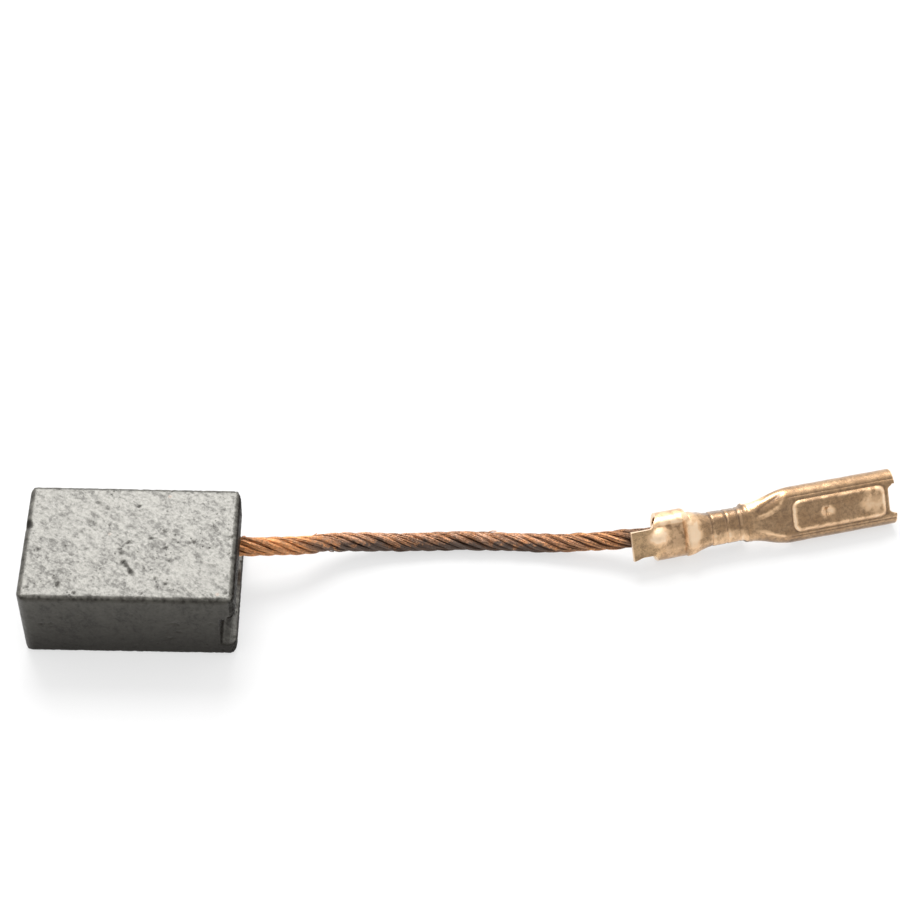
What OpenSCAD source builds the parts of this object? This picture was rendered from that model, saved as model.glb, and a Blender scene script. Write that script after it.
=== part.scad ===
// Carbon brush with a stranded copper lead and a crimped receptacle terminal.
// The block lies on its broad side: +X runs along it towards the lead, +Z is up,
// and the origin is under the middle of the block. Lengths are in millimetres.

/* [Carbon block] */
// Length of the block, from the contact face to the wire end
block_length = 14; // [10:0.5:24]
// Width of the block, across its broad side
block_width = 9.2; // [7:0.1:16]
// Thickness of the block
block_thickness = 6.1; // [5.5:0.1:12]
// Radius of the eased long edges
long_edge_radius = 0.3; // [0.2:0.05:1]
// Radius of the upright edges at the block's two ends
end_corner_radius = 0.65; // [0.2:0.05:1]
// Radius of the edges that run across the block at its two ends
end_edge_radius = 0.35; // [0.2:0.05:0.9]
// Size of the chip broken out of the contact edge
edge_chip = 0.6; // [0.5:0.05:1]
// Place of the chip across the block, from its middle
edge_chip_y = 1.3; // [-3:0.1:3]

/* [Spring groove] */
// Depth of the groove across the wire end
groove_depth = 1; // [0.5:0.1:2]
// Height of the groove's lower wall above the block's base
groove_bottom = 1.25; // [1:0.05:2]
// Width of the groove at its floor
groove_width = 2.8; // [2.6:0.1:3.5]
// How far the groove's lower wall opens outwards towards its mouth
groove_flare = 0.15; // [0:0.05:0.5]

/* [Lead hole] */
// Diameter of the blind hole that holds the lead
hole_diameter = 2.4; // [2:0.1:2.6]
// Depth of the hole below the groove's floor
hole_depth = 5; // [3:0.5:7]
// Distance of the hole from the middle of the block, across its width
hole_y = 2.2; // [0:0.1:2.2]
// Height of the hole above the middle of the groove
hole_rise = 0.2; // [-0.2:0.05:0.2]
// How far the packed contact powder stays below the groove's floor
powder_recess = 0.5; // [0.2:0.1:1.5]
// Powder left under the end of the lead
powder_floor = 0.6; // [0.3:0.1:1.5]
// Clearance between the packed powder and what it touches
powder_gap = 0.01; // [0.005:0.005:0.03]

/* [Lead] */
// Diameter of the stranded copper lead
lead_diameter = 1.3; // [1:0.01:1.4]
// Diameter of the lead where the wire crimp squeezes it
squeezed_diameter = 0.86; // [0.5:0.02:0.9]

/* [Terminal sheet] */
// Thickness of the brass sheet
sheet = 0.3; // [0.2:0.01:0.35]
// Width of the flat carrier tab at the lead's end of the terminal
tab_width = 1.85; // [1.5:0.05:2.4]
// Length of the carrier tab
tab_length = 1.85; // [1:0.05:3]

/* [Insulation barrel] */
// Outer width of the insulation barrel
barrel_width = 3.1; // [2.8:0.1:3.6]
// Outer depth of the insulation barrel
barrel_depth = 2.3; // [2.1:0.05:2.4]
// Length of the insulation barrel
barrel_length = 2.15; // [1.5:0.05:4]

/* [Wire crimp] */
// Length of the open window between the barrel and the wire crimp
window_length = 0.45; // [0.3:0.05:2]
// Outer width of the wire crimp
crimp_width = 2.4; // [2.3:0.05:2.7]
// Outer depth of the wire crimp
crimp_depth = 1.75; // [1.65:0.05:2]
// Length of the wire crimp with its two bell mouths
crimp_length = 3.95; // [2.5:0.05:5]
// How far the crimp's mouth towards the lead opens, on each side
mouth_flare = 0.22; // [0.02:0.01:0.3]
// How far the crimp's rear bell opens, on each side
bell_flare = 0.12; // [0.02:0.01:0.2]
// Gap left at the seam between the two crimped wings
seam_gap = 0.06; // [0.03:0.01:0.15]
// Depth of the rings that the crimping tool pressed into the barrel
ring_depth = 0.05; // [0.01:0.01:0.08]

/* [Receptacle] */
// Length of the neck that widens from the crimp to the receptacle
neck_length = 3.2; // [2:0.1:5]
// Outer width of the receptacle
box_width = 3.9; // [3.8:0.1:4.6]
// Outer height of the receptacle's rolls
box_height = 1.8; // [1.5:0.05:1.8]
// Length of the receptacle
box_length = 7.65; // [7.5:0.05:10]
// How far round each roll is curled
roll_turn = 285; // [260:5:300]
// How far the back panel's front edge stays behind the rolls
panel_setback = 0.5; // [0.1:0.05:0.8]
// Length of the stiffening panel pressed out of the back
emboss_length = 6.7; // [4:0.1:6.8]
// Width of the stiffening panel
emboss_width = 2.05; // [1.2:0.05:2.05]
// Corner radius of the stiffening panel
emboss_radius = 0.45; // [0.2:0.05:0.55]
// How far the stiffening panel stands out of the back
emboss_height = 0.2; // [0.05:0.01:0.25]
// Distance from the receptacle's rear end to the stiffening panel
emboss_offset = 0.1; // [0:0.05:0.3]
// Diameter of the locking dimple
dimple_diameter = 0.95; // [0.5:0.05:1.2]
// Depth of the locking dimple
dimple_depth = 0.28; // [0.1:0.02:0.35]
// Distance from the receptacle's rear end to the locking dimple
dimple_offset = 2.5; // [2:0.1:4.5]

/* [Lie of the terminal] */
// Distance from the middle of the block to the carrier tab's end
terminal_x = 33.5; // [30:0.5:40]
// Sideways place of the carrier tab's end
terminal_y = 3.4; // [0:0.1:6]
// Heading of the terminal, from the block's long axis
terminal_yaw = 14; // [0:1:30]
// Roll of the terminal about its own length
terminal_roll = 48; // [30:1:60]

/* [Hidden] */
epsilon = 0.02;

wire_end = block_length / 2;
groove_floor = wire_end - groove_depth;
hole_z = groove_bottom + groove_width / 2 + hole_rise;
hole_end = groove_floor - hole_depth;
powder_top = groove_floor - powder_recess;
lead_start = hole_end + powder_floor;
lead_radius = lead_diameter / 2;

half_sheet = sheet / 2;
barrel_start = tab_length;
barrel_end = barrel_start + barrel_length;
crimp_start = barrel_end + window_length;
crimp_end = crimp_start + crimp_length;
box_start = crimp_end + neck_length;
box_end = box_start + box_length;

// Radii and flat half widths of the folded sections, on the sheet's middle layer.
roll_radius = (box_height - sheet) / 2;
box_flat = box_width / 2 - half_sheet - roll_radius;
barrel_radius = (barrel_depth - sheet) / 2;
barrel_flat = barrel_width / 2 - half_sheet - barrel_radius;
crimp_half = crimp_width / 2 - half_sheet;
lobe_radius = (crimp_half - half_sheet - seam_gap / 2) / 2;
crimp_corner = 0.62;
crimp_wall = crimp_depth - sheet - crimp_corner - lobe_radius;

// The terminal rests on its lower roll, so its height follows from the roll and its lean.
function drop(flat, radius) =
    flat * sin(terminal_roll) + radius * cos(terminal_roll) + radius + half_sheet;
terminal_z = max(drop(box_flat, roll_radius), drop(barrel_flat, barrel_radius));

// Cells of half a section: flat back, first bend, wall, last bend.
cells = [3, 6, 3, 9];
base_cells = cells[0] + cells[1];
half_cells = base_cells + cells[2] + cells[3];

function arc_length(radius, turn) = radius * turn * PI / 180;

// A section is four stretches of [length, turn], from the middle of the back outwards.
tab_section = [[tab_width / 4, 0], [tab_width / 4, 0], [1, 0], [1, 0]];
barrel_section = [
    [barrel_flat, 0],
    [arc_length(barrel_radius, 90), 90],
    [arc_length(barrel_radius, 45), 45],
    [arc_length(barrel_radius, 45) + barrel_flat - half_sheet, 52],
];
function crimp_section(flare) = [
    [crimp_half - crimp_corner + flare / 2, 0],
    [arc_length(crimp_corner + flare / 2, 90), 90],
    [crimp_wall, 0],
    [arc_length(lobe_radius + flare / 4, 172), 172],
];
box_section = [
    [box_flat, 0],
    [arc_length(roll_radius, 90), 90],
    [arc_length(roll_radius, 45), 45],
    [arc_length(roll_radius, roll_turn - 135), roll_turn - 135],
];

function blend(a, b, t) = a + (b - a) * t;
function ease(t) = t * t * (3 - 2 * t);
function between(a, b, t) = [for (i = [0:3]) blend(a[i], b[i], ease(t))];

// Stations along the terminal: [distance, section, whether the stretch after it has wings].
mouth = 1.1;
bell = 0.35;
ring_half_width = 0.08;
stations = [
    [0, tab_section, false],
    [tab_length - 0.35, tab_section, false],
    [barrel_start, barrel_section, true],
    [barrel_end, barrel_section, false],
    [crimp_start, crimp_section(mouth_flare), true],
    [crimp_start + mouth / 2, crimp_section(mouth_flare * 0.4), true],
    [crimp_start + mouth, crimp_section(0), true],
    for (mark = [0.34, 0.61, 0.84])
        for (edge = [-1, 0, 1])
            [blend(crimp_start, crimp_end, mark) + edge * ring_half_width,
                crimp_section(edge == 0 ? -ring_depth : 0), true],
    [crimp_end - bell, crimp_section(0), true],
    [crimp_end, crimp_section(bell_flare), false],
    for (t = [0.2:0.2:0.8])
        [blend(crimp_end, box_start, t), between(crimp_section(bell_flare), box_section, t), false],
    [box_start, box_section, true],
    [box_end - panel_setback, box_section, true],
    [box_end, box_section, false],
];
last_interval = len(stations) - 2;

// Walks along half a section and gives [sideways, height, heading] at the end of each cell.
function steps(section) =
    [for (g = [0:3]) for (k = [1:cells[g]]) [section[g][0] / cells[g], section[g][1] / cells[g]]];
function chord(step) =
    step[1] == 0 ? step[0] : 2 * step[0] / (step[1] * PI / 180) * sin(step[1] / 2);
function walk(s) = [
    for (i = 0, p = [0, 0], a = 0; i <= len(s);
        p = i < len(s) ? p + chord(s[i]) * [cos(a + s[i][1] / 2), -sin(a + s[i][1] / 2)] : p,
        a = i < len(s) ? a + s[i][1] : a,
        i = i + 1)
    [p[0], p[1], a]
];

// One station's points: both layers of the sheet, from the far edge to the near edge.
function layer(half, side, offset) =
    [side * (half[0] + offset * sin(half[2])), half[1] + offset * cos(half[2])];
function ring(station) =
    let (half = walk(steps(station[1])))
    [for (j = [-half_cells:half_cells]) for (offset = [half_sheet, -half_sheet])
        let (q = layer(half[abs(j)], j < 0 ? -1 : 1, offset)) [station[0], q[0], q[1]]];

// Which cells of the blank are there: wings only where a stretch has them, and no panel
// in front of the setback.
function present(k, c) =
    k < 0 || k > last_interval || c < 0 || c >= 2 * half_cells ? false :
    let (j = c - half_cells + 0.5)
    abs(j) > base_cells ? stations[k][2] :
    !(k == last_interval && abs(j) < cells[0]);

function corner(k, j, inner) = (k * (2 * half_cells + 1) + j) * 2 + inner;
function quad(a, b, c, d) = [[a, b, c], [a, c, d]];
function cell_faces(k, c) = concat(
    quad(corner(k, c, 0), corner(k, c + 1, 0), corner(k + 1, c + 1, 0), corner(k + 1, c, 0)),
    quad(corner(k, c, 1), corner(k + 1, c, 1), corner(k + 1, c + 1, 1), corner(k, c + 1, 1)),
    present(k, c - 1) ? [] :
        quad(corner(k, c, 0), corner(k + 1, c, 0), corner(k + 1, c, 1), corner(k, c, 1)),
    present(k, c + 1) ? [] :
        quad(corner(k, c + 1, 1), corner(k + 1, c + 1, 1), corner(k + 1, c + 1, 0), corner(k, c + 1, 0)),
    present(k - 1, c) ? [] :
        quad(corner(k, c, 0), corner(k, c, 1), corner(k, c + 1, 1), corner(k, c + 1, 0)),
    present(k + 1, c) ? [] :
        quad(corner(k + 1, c, 1), corner(k + 1, c, 0), corner(k + 1, c + 1, 0), corner(k + 1, c + 1, 1))
);

module folded_sheet() {
    polyhedron(
        points = [for (s = stations) each ring(s)],
        faces = [for (k = [0:last_interval]) for (c = [0:2 * half_cells - 1])
            if (present(k, c)) each cell_faces(k, c)]
    );
}

function rounded_outline(length, width, radius, turns = 6) = [
    for (q = [[1, 1, 0], [-1, 1, 90], [-1, -1, 180], [1, -1, 270]])
    for (i = [0:turns])
        [q[0] * (length / 2 - radius), q[1] * (width / 2 - radius)]
        + radius * [cos(q[2] + 90 * i / turns), sin(q[2] + 90 * i / turns)]
];

// A low plateau with sloping sides.
module plateau(length, width, radius, height, slope) {
    hull() {
        linear_extrude(epsilon)
            polygon(rounded_outline(length, width, radius));
        translate([0, 0, height - epsilon])
            linear_extrude(epsilon)
            polygon(rounded_outline(length - 2 * slope, width - 2 * slope, radius - slope));
    }
}

module at_terminal() {
    translate([terminal_x, terminal_y, terminal_z])
        rotate([0, 0, terminal_yaw])
        rotate([terminal_roll, 0, 0])
        children();
}

// --- carbon block ---------------------------------------------------------------------

module along_x() {
    rotate([90, 0, 90])
        children();
}

// The pressed bar, with its long edges, its upright corners and its end edges eased.
module block_blank() {
    intersection() {
        translate([-wire_end, 0, block_thickness / 2])
            along_x()
            linear_extrude(block_length)
            polygon(rounded_outline(block_width, block_thickness, long_edge_radius, 3));
        linear_extrude(block_thickness)
            polygon(rounded_outline(block_length, block_width, end_corner_radius, 4));
        translate([0, block_width / 2, block_thickness / 2])
            rotate([90, 0, 0])
            linear_extrude(block_width)
            polygon(rounded_outline(block_length, block_thickness, end_edge_radius, 3));
    }
}

// The groove across the wire end: straight upper wall, lower wall opening outwards.
module spring_groove() {
    groove_top = groove_bottom + groove_width;
    reach = groove_depth + 1;
    slope = groove_flare / groove_depth;
    translate([groove_floor, block_width / 2 + 1, 0])
        rotate([90, 0, 0])
        linear_extrude(block_width + 2)
        polygon([
            [0, groove_bottom],
            [reach, groove_bottom - reach * slope],
            [reach, groove_top],
            [0, groove_top],
        ]);
}

module lead_hole() {
    translate([hole_end, hole_y, hole_z])
        rotate([0, 90, 0])
        cylinder(h = hole_depth + 1, d = hole_diameter, $fn = 48);
}

// A flake missing from the upper edge of the contact face.
module chip() {
    translate([-wire_end, edge_chip_y, block_thickness])
        rotate([0, 45, 24])
        cube(edge_chip, center = true);
}

module carbon_block() {
    color("#7d7c78")
        difference() {
            block_blank();
            spring_groove();
            lead_hole();
            chip();
        }
}

// --- contact powder packed round the lead -----------------------------------------------

module tamping_plug() {
    color("#4a3a30")
        translate([0, hole_y, hole_z])
        rotate([0, 90, 0])
        difference() {
            translate([0, 0, hole_end + powder_gap])
                cylinder(h = powder_top - hole_end - powder_gap,
                    d = hole_diameter - 2 * powder_gap, $fn = 48);
            translate([0, 0, lead_start - powder_gap])
                cylinder(h = hole_depth + 1, d = lead_diameter + 2 * powder_gap, $fn = 48);
        }
}

// --- lead ---------------------------------------------------------------------------------

// The terminal's own axes, for the stretch of lead inside it.
terminal_along = [cos(terminal_yaw), sin(terminal_yaw), 0];
terminal_out = [
    sin(terminal_roll) * sin(terminal_yaw),
    -sin(terminal_roll) * cos(terminal_yaw),
    cos(terminal_roll),
];
terminal_across = cross(terminal_out, terminal_along);
function in_terminal(s, across, depth) =
    [terminal_x, terminal_y, terminal_z]
    + terminal_along * s + terminal_across * across - terminal_out * depth;
barrel_lead = half_sheet + lead_radius + 0.03;
crimp_lead = half_sheet + squeezed_diameter / 2 + 0.02;
lead_overrun = 2;

// Points of the lead between the block and the terminal, and its two ends.
free_route = [
    [9, 2.4, 2.75],
    [11, 2.85, 2.3],
    [13, 3.65, 1.65],
    [15.5, 4.15, 1.1],
    [18, 4.4, 0.8],
    [20.5, 4.6, 0.7],
    [23, 4.7, 0.7],
    [25.5, 4.65, 0.7],
    [28, 4.55, 0.8],
    [30, 4.45, 1.1],
    [32, 4.4, 1.45],
];
// Each ring is [centre, radius].
lead_rings = concat(
    [[[lead_start, hole_y, hole_z], lead_radius]],
    [[[(lead_start + powder_top) / 2, hole_y, hole_z], lead_radius]],
    [[[groove_floor, hole_y, hole_z], lead_radius]],
    [for (p = free_route) [p, lead_radius]],
    [for (s = [0.4, barrel_start + 0.5, barrel_end - 0.3])
        [in_terminal(s, 0.1 * (barrel_end - s), barrel_lead), lead_radius]],
    [for (s = [crimp_start + 0.2, crimp_end - 0.2, crimp_end + lead_overrun])
        [in_terminal(s, 0, crimp_lead), squeezed_diameter / 2]]
);
lead_sides = 8;

function unit(v) = v / norm(v);
function tangent(i) =
    unit(lead_rings[min(i + 1, len(lead_rings) - 1)][0] - lead_rings[max(i - 1, 0)][0]);
function lead_ring(i) =
    let (side = unit(cross([0, 0, 1], tangent(i))), up = cross(tangent(i), side))
    [for (k = [0:lead_sides - 1])
        let (a = (k + 0.5) * 360 / lead_sides)
        lead_rings[i][0] + lead_rings[i][1] * (cos(a) * side + sin(a) * up)];

module lead() {
    last = len(lead_rings) - 1;
    color("#b8683f")
        polyhedron(
            points = [for (i = [0:last]) each lead_ring(i)],
            faces = concat(
                [[for (k = [0:lead_sides - 1]) k]],
                [for (i = [0:last - 1]) for (k = [0:lead_sides - 1])
                    let (a = i * lead_sides, n = (k + 1) % lead_sides)
                    each quad(a + k, a + lead_sides + k, a + lead_sides + n, a + n)],
                [[for (k = [lead_sides - 1:-1:0]) last * lead_sides + k]]
            )
        );
}

// --- terminal -------------------------------------------------------------------------------

module on_back(distance) {
    translate([box_start + distance, 0, 0])
        children();
}

module stiffening_panel(grow, height) {
    on_back(emboss_offset + emboss_length / 2)
        plateau(emboss_length + 2 * grow, emboss_width + 2 * grow, emboss_radius + grow,
            height, emboss_height);
}

// The cone of the locking dimple, its wide end at the given height.
module dimple_cone(height) {
    on_back(dimple_offset)
        translate([0, 0, height - dimple_depth])
        cylinder(h = dimple_depth, d1 = dimple_diameter * 0.45, d2 = dimple_diameter, $fn = 32);
}

// The folded sheet with the stiffening panel pressed out of its back.
module embossed_sheet() {
    difference() {
        union() {
            folded_sheet();
            translate([0, 0, half_sheet - epsilon])
                stiffening_panel(0, emboss_height + epsilon);
        }
        translate([0, 0, -half_sheet - epsilon])
            stiffening_panel(-0.08, emboss_height);
    }
}

module terminal() {
    color("#c9a06a")
        at_terminal()
        difference() {
            union() {
                embossed_sheet();
                dimple_cone(-half_sheet + emboss_height + epsilon);
            }
            dimple_cone(half_sheet + emboss_height + epsilon);
        }
}

carbon_block();
tamping_plug();
lead();
terminal();
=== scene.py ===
"""Looks of a carbon brush: its carbon block, its stranded lead and its folded terminal.

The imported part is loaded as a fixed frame, and every piece here is built round it.
Shapes are worked out in millimetres, in the part's own frame, and set down in metres.
"""
from __future__ import annotations

import logging
import math
from collections.abc import Sequence
from dataclasses import dataclass, field
from enum import Enum

import bmesh
import bpy
import numpy as np
from mathutils import Euler, Matrix, Vector, noise


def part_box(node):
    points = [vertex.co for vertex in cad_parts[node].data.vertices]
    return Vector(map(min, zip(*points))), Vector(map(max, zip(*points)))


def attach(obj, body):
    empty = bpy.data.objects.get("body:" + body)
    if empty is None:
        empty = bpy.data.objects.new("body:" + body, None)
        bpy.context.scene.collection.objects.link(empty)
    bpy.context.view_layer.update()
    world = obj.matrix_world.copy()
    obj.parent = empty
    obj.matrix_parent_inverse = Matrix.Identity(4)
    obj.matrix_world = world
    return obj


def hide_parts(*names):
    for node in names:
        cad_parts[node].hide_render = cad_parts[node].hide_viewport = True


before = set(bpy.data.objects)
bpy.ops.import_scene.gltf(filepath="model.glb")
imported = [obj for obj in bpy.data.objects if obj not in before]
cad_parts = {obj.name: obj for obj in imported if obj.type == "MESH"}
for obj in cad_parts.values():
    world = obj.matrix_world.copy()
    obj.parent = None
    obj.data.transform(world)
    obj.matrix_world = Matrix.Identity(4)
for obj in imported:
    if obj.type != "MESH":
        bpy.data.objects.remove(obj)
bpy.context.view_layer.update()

LOG = logging.getLogger("carbon_brush")
MM = 0.001
ROOT_BODY = "root"

Colour = tuple[float, float, float]
Point = tuple[float, float, float]
Mark = tuple[float, float, float, float, float]


class Slot(Enum):
    """Names for the material slots, which nothing here uses."""

    CARBON = "carbon"
    POWDER = "contact_powder"
    COPPER = "copper_strand"
    BRASS = "terminal_brass"


# --- Node trees ---------------------------------------------------------------------------


@dataclass(frozen=True)
class Value:
    """A number that a node gives, which plain sums and products can be written with."""

    tree: NodeTree
    socket: bpy.types.NodeSocket

    def __add__(self, other: Value | float) -> Value:
        """Returns the sum."""
        return self.tree.math("ADD", self, other)

    def __sub__(self, other: Value | float) -> Value:
        """Returns the difference."""
        return self.tree.math("SUBTRACT", self, other)

    def __rsub__(self, other: float) -> Value:
        """Returns what is left of a number."""
        return self.tree.math("SUBTRACT", other, self)

    def __mul__(self, other: Value | float) -> Value:
        """Returns the product."""
        return self.tree.math("MULTIPLY", self, other)

    def __truediv__(self, other: Value | float) -> Value:
        """Returns the quotient."""
        return self.tree.math("DIVIDE", self, other)

    def most(self, other: Value | float) -> Value:
        """Returns the larger of the two."""
        return self.tree.math("MAXIMUM", self, other)

    def clamped(self) -> Value:
        """Keeps the last step's result between 0 and 1, and returns it."""
        self.socket.node.use_clamp = True
        return self


class NodeTree:
    """A node tree, with one short call for each thing that is done to it."""

    def __init__(self, tree: bpy.types.NodeTree) -> None:
        """Takes the tree to add nodes to."""
        self.tree = tree

    def feed(self, socket: bpy.types.NodeSocket, value: object) -> None:
        """Links a value into a socket, or writes it there.

        Args:
            socket: The input socket.
            value: A value or a socket to link, or a plain number, point or material.
        """
        if isinstance(value, Value):
            value = value.socket
        if isinstance(value, bpy.types.NodeSocket):
            self.tree.links.new(value, socket)
        else:
            socket.default_value = value

    def add(self, kind: str, inputs: dict | None = None, **settings: object) -> bpy.types.Node:
        """Adds one node.

        Args:
            kind: The node's class name.
            inputs: What each of its input sockets is fed, by name or number.
            settings: Its own properties.

        Returns:
            The new node.
        """
        node = self.tree.nodes.new(kind)
        for key, value in settings.items():
            setattr(node, key, value)
        for key, value in (inputs or {}).items():
            self.feed(node.inputs[key], value)
        return node

    def value(self, kind: str, output: str | int, inputs: dict | None = None,
              **settings: object) -> Value:
        """Adds one node and returns one of its numbers.

        Args:
            kind: The node's class name.
            output: The output socket, by name or number.
            inputs: What each of its input sockets is fed.
            settings: Its own properties.

        Returns:
            The number.
        """
        return Value(self, self.add(kind, inputs, **settings).outputs[output])

    def math(self, operation: str, *values: Value | float) -> Value:
        """Adds a Math node.

        Args:
            operation: The node's operation.
            values: Its inputs in order.

        Returns:
            Its result.
        """
        return self.value("ShaderNodeMath", 0, dict(enumerate(values)), operation=operation)

    def vector(self, operation: str, *values: object) -> bpy.types.NodeSocket:
        """Adds a Vector Math node.

        Args:
            operation: The node's operation.
            values: Its inputs in order; SCALE takes a vector and a number.

        Returns:
            Its vector result.
        """
        keys = (0, "Scale") if operation == "SCALE" else (0, 1)
        inputs = dict(zip(keys, values))
        return self.add("ShaderNodeVectorMath", inputs, operation=operation).outputs[0]


class FinishTree(NodeTree):
    """A material's nodes, read on the part's own coordinates in millimetres."""

    def __init__(self, name: str) -> None:
        """Starts a material with no nodes.

        Args:
            name: The material's name.
        """
        self.material = bpy.data.materials.new(name)
        self.material.use_nodes = True
        super().__init__(self.material.node_tree)
        self.tree.nodes.clear()

    def millimetres(self, stretch: Point = (1, 1, 1),
                    turn: Point = (0, 0, 0)) -> bpy.types.NodeSocket:
        """Reads the piece's coordinates in millimetres.

        Args:
            stretch: How many times closer the pattern repeats along each axis.
            turn: The pattern's rotation in radians.

        Returns:
            The coordinates.
        """
        where = self.add("ShaderNodeTexCoord").outputs["Object"]
        per_metre = (1 / MM, 1 / MM, 1 / MM)
        turned = self.add("ShaderNodeMapping", {
            "Vector": where, "Rotation": turn, "Scale": per_metre,
        }).outputs[0]
        return self.vector("MULTIPLY", turned, stretch)

    def noise(self, where: bpy.types.NodeSocket, scale: float, detail: float = 4,
              roughness: float = 0.55, distortion: float = 0) -> Value:
        """Makes a noise between 0 and 1.

        Args:
            where: The coordinates.
            scale: Features per millimetre.
            detail: Octaves.
            roughness: How strong the fine octaves are.
            distortion: How far the pattern is pulled about.

        Returns:
            The noise.
        """
        return self.value("ShaderNodeTexNoise", "Fac", {
            "Vector": where, "Scale": scale, "Detail": detail,
            "Roughness": roughness, "Distortion": distortion,
        })

    def spots(self, where: bpy.types.NodeSocket, scale: float) -> Value:
        """Measures the distance to the nearest of a field of scattered points.

        Args:
            where: The coordinates.
            scale: Points per millimetre.

        Returns:
            The distance.
        """
        return self.value("ShaderNodeTexVoronoi", "Distance", {"Vector": where, "Scale": scale})

    def attribute(self, name: str) -> Value:
        """Returns a value that the mesh holds under this name."""
        return self.value("ShaderNodeAttribute", "Fac", attribute_name=name)

    def step(self, value: Value, low: float, high: float, start: float = 0,
             end: float = 1) -> Value:
        """Carries a value from one range to another, with an eased change.

        Args:
            value: The value to read.
            low: Where the result starts to change.
            high: Where it stops changing.
            start: The result up to low.
            end: The result from high.

        Returns:
            The carried value.
        """
        return self.value("ShaderNodeMapRange", 0, {
            "Value": value, "From Min": low, "From Max": high, "To Min": start, "To Max": end,
        }, interpolation_type="SMOOTHSTEP")

    def mix(self, amount: Value, first: bpy.types.NodeSocket | Colour,
            second: bpy.types.NodeSocket | Colour) -> bpy.types.NodeSocket:
        """Lays one colour over another.

        Args:
            amount: How much of the second colour.
            first: The colour below.
            second: The colour on top.

        Returns:
            The mixed colour.
        """
        node = self.add("ShaderNodeMix", {0: amount}, data_type="RGBA")
        for index, colour in ((6, first), (7, second)):
            self.feed(node.inputs[index], (*colour, 1) if isinstance(colour, tuple) else colour)
        return node.outputs[2]

    def bump(self, height: Value, depth: float) -> bpy.types.NodeSocket:
        """Tilts the normal by a height.

        Args:
            height: The height, from 0 to 1.
            depth: What a height of 1 is, in millimetres.

        Returns:
            The tilted normal.
        """
        inputs = {"Height": height, "Strength": 1.0, "Distance": depth * MM}
        return self.add("ShaderNodeBump", inputs).outputs[0]

    def surface(self, **inputs: object) -> bpy.types.Material:
        """Ends the tree in one Principled shader.

        Args:
            inputs: The shader's sockets, with _ for a space.

        Returns:
            The material.
        """
        named = {key.replace("_", " "): value for key, value in inputs.items()}
        shader = self.add("ShaderNodeBsdfPrincipled", named)
        self.add("ShaderNodeOutputMaterial", {"Surface": shader.outputs[0]})
        return self.material


# --- Finishes -----------------------------------------------------------------------------


@dataclass(frozen=True)
class CarbonFinish:
    """Pressed carbon graphite: dark as moulded, with a mottled metallic sheen where ground, paler
    level faces that are partly painted light, and painted shade low on its sides, in its groove and
    in its chip.
    """

    name: str = "pressed_carbon"
    body: Colour = (0.058, 0.054, 0.046)
    dust_and_top_light: Colour = (0.125, 0.120, 0.103)
    pore_and_shade: Colour = (0.014, 0.012, 0.010)
    copper_speck: Colour = (0.42, 0.27, 0.20)
    ior: float = 1.72
    sheen: Colour = (1.0, 0.98, 0.915)
    moulded_shine: float = 0.145
    ground_shine: float = 0.34
    shine_lost_in_dark: float = 0.22
    grinding_slant: float = 0.62
    grinding_stretch: float = 2.1
    grain_depth: float = 0.008

    def build(self) -> bpy.types.Material:
        """Mixes the carbon's mottle, its pores and specks, its painted shade and its ground sheen.

        Returns:
            The material.
        """
        tree = FinishTree(self.name)
        where = tree.millimetres()
        slanted = tree.millimetres((1, self.grinding_stretch, 1), (0, 0, self.grinding_slant))
        cloud = tree.noise(where, 0.4, 3, 0.6)
        smear = tree.noise(slanted, 1.1, 6, 0.74, 0.4)
        mottle = tree.noise(where, 4.4, 6, 0.74)
        grain = tree.noise(where, 11, 3, 0.7)
        grime_and_shade = tree.attribute("grime_and_shade")
        ground = tree.attribute("ground")
        specks = tree.step(tree.spots(where, 0.36), 0.07, 0.02, 0, 0.42)
        dots = tree.step(tree.spots(where, 2.3), 0.20, 0.07, 0, 0.75) * ground
        pits = tree.attribute("pit").most(dots * tree.step(cloud, 0.44, 0.58))
        patchy = mottle * 0.7 + 0.15 + (smear - 0.5) * 1.15 + (cloud - 0.5) * 0.3
        dark = tree.step(patchy, 0.49, 0.72)
        # Level faces pale towards this colour, partly dust and partly painted light on the top; the
        # other faces keep the dark body colour.
        colour = tree.mix(tree.step(patchy, 0.55, 0.3), self.body, self.dust_and_top_light)
        colour = tree.mix((1 - ground) * 0.8, colour, self.body)
        colour = tree.mix(dark * 0.6, colour, self.pore_and_shade)
        # Painted shade, grime and pores darken the colour here.
        colour = tree.mix(grime_and_shade.most(pits * 0.9), colour, self.pore_and_shade)
        colour = tree.mix(specks * ground, colour, self.copper_speck)
        shine = ground * (self.ground_shine - dark * self.shine_lost_in_dark)
        shine = shine + self.moulded_shine
        for spoiler, share in ((pits, 0.75), (grime_and_shade, 0.85), (specks, 0.3)):
            shine = shine * (1 - spoiler * share)
        rough = tree.step(mottle, 0.3, 0.75, 0.30, 0.40) + pits * 0.25
        height = grain * 0.6 - dark * 0.5 + mottle
        return tree.surface(
            Base_Color=colour, Roughness=rough.clamped(), IOR=self.ior,
            Specular_IOR_Level=shine, Specular_Tint=(*self.sheen, 1),
            Normal=tree.bump(height, self.grain_depth),
        )


@dataclass(frozen=True)
class PowderFinish:
    """Contact powder, packed hard: nearly black, with dull metal grains."""

    name: str = "packed_powder"
    dark: Colour = (0.022, 0.016, 0.013)
    metal: Colour = (0.20, 0.12, 0.08)
    grain_depth: float = 0.04

    def build(self) -> bpy.types.Material:
        """Mixes the powder's dark body and its metal grains.

        Returns:
            The material.
        """
        tree = FinishTree(self.name)
        where = tree.millimetres()
        grain = tree.spots(where, 9)
        bright = tree.step(tree.noise(where, 14, 3, 0.6), 0.58, 0.7)
        colour = tree.mix(bright, self.dark, self.metal)
        rough = tree.step(grain, 0.1, 0.6, 0.5, 0.85)
        normal = tree.bump(grain, self.grain_depth)
        return tree.surface(Base_Color=colour, Roughness=rough, Normal=normal)


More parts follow.
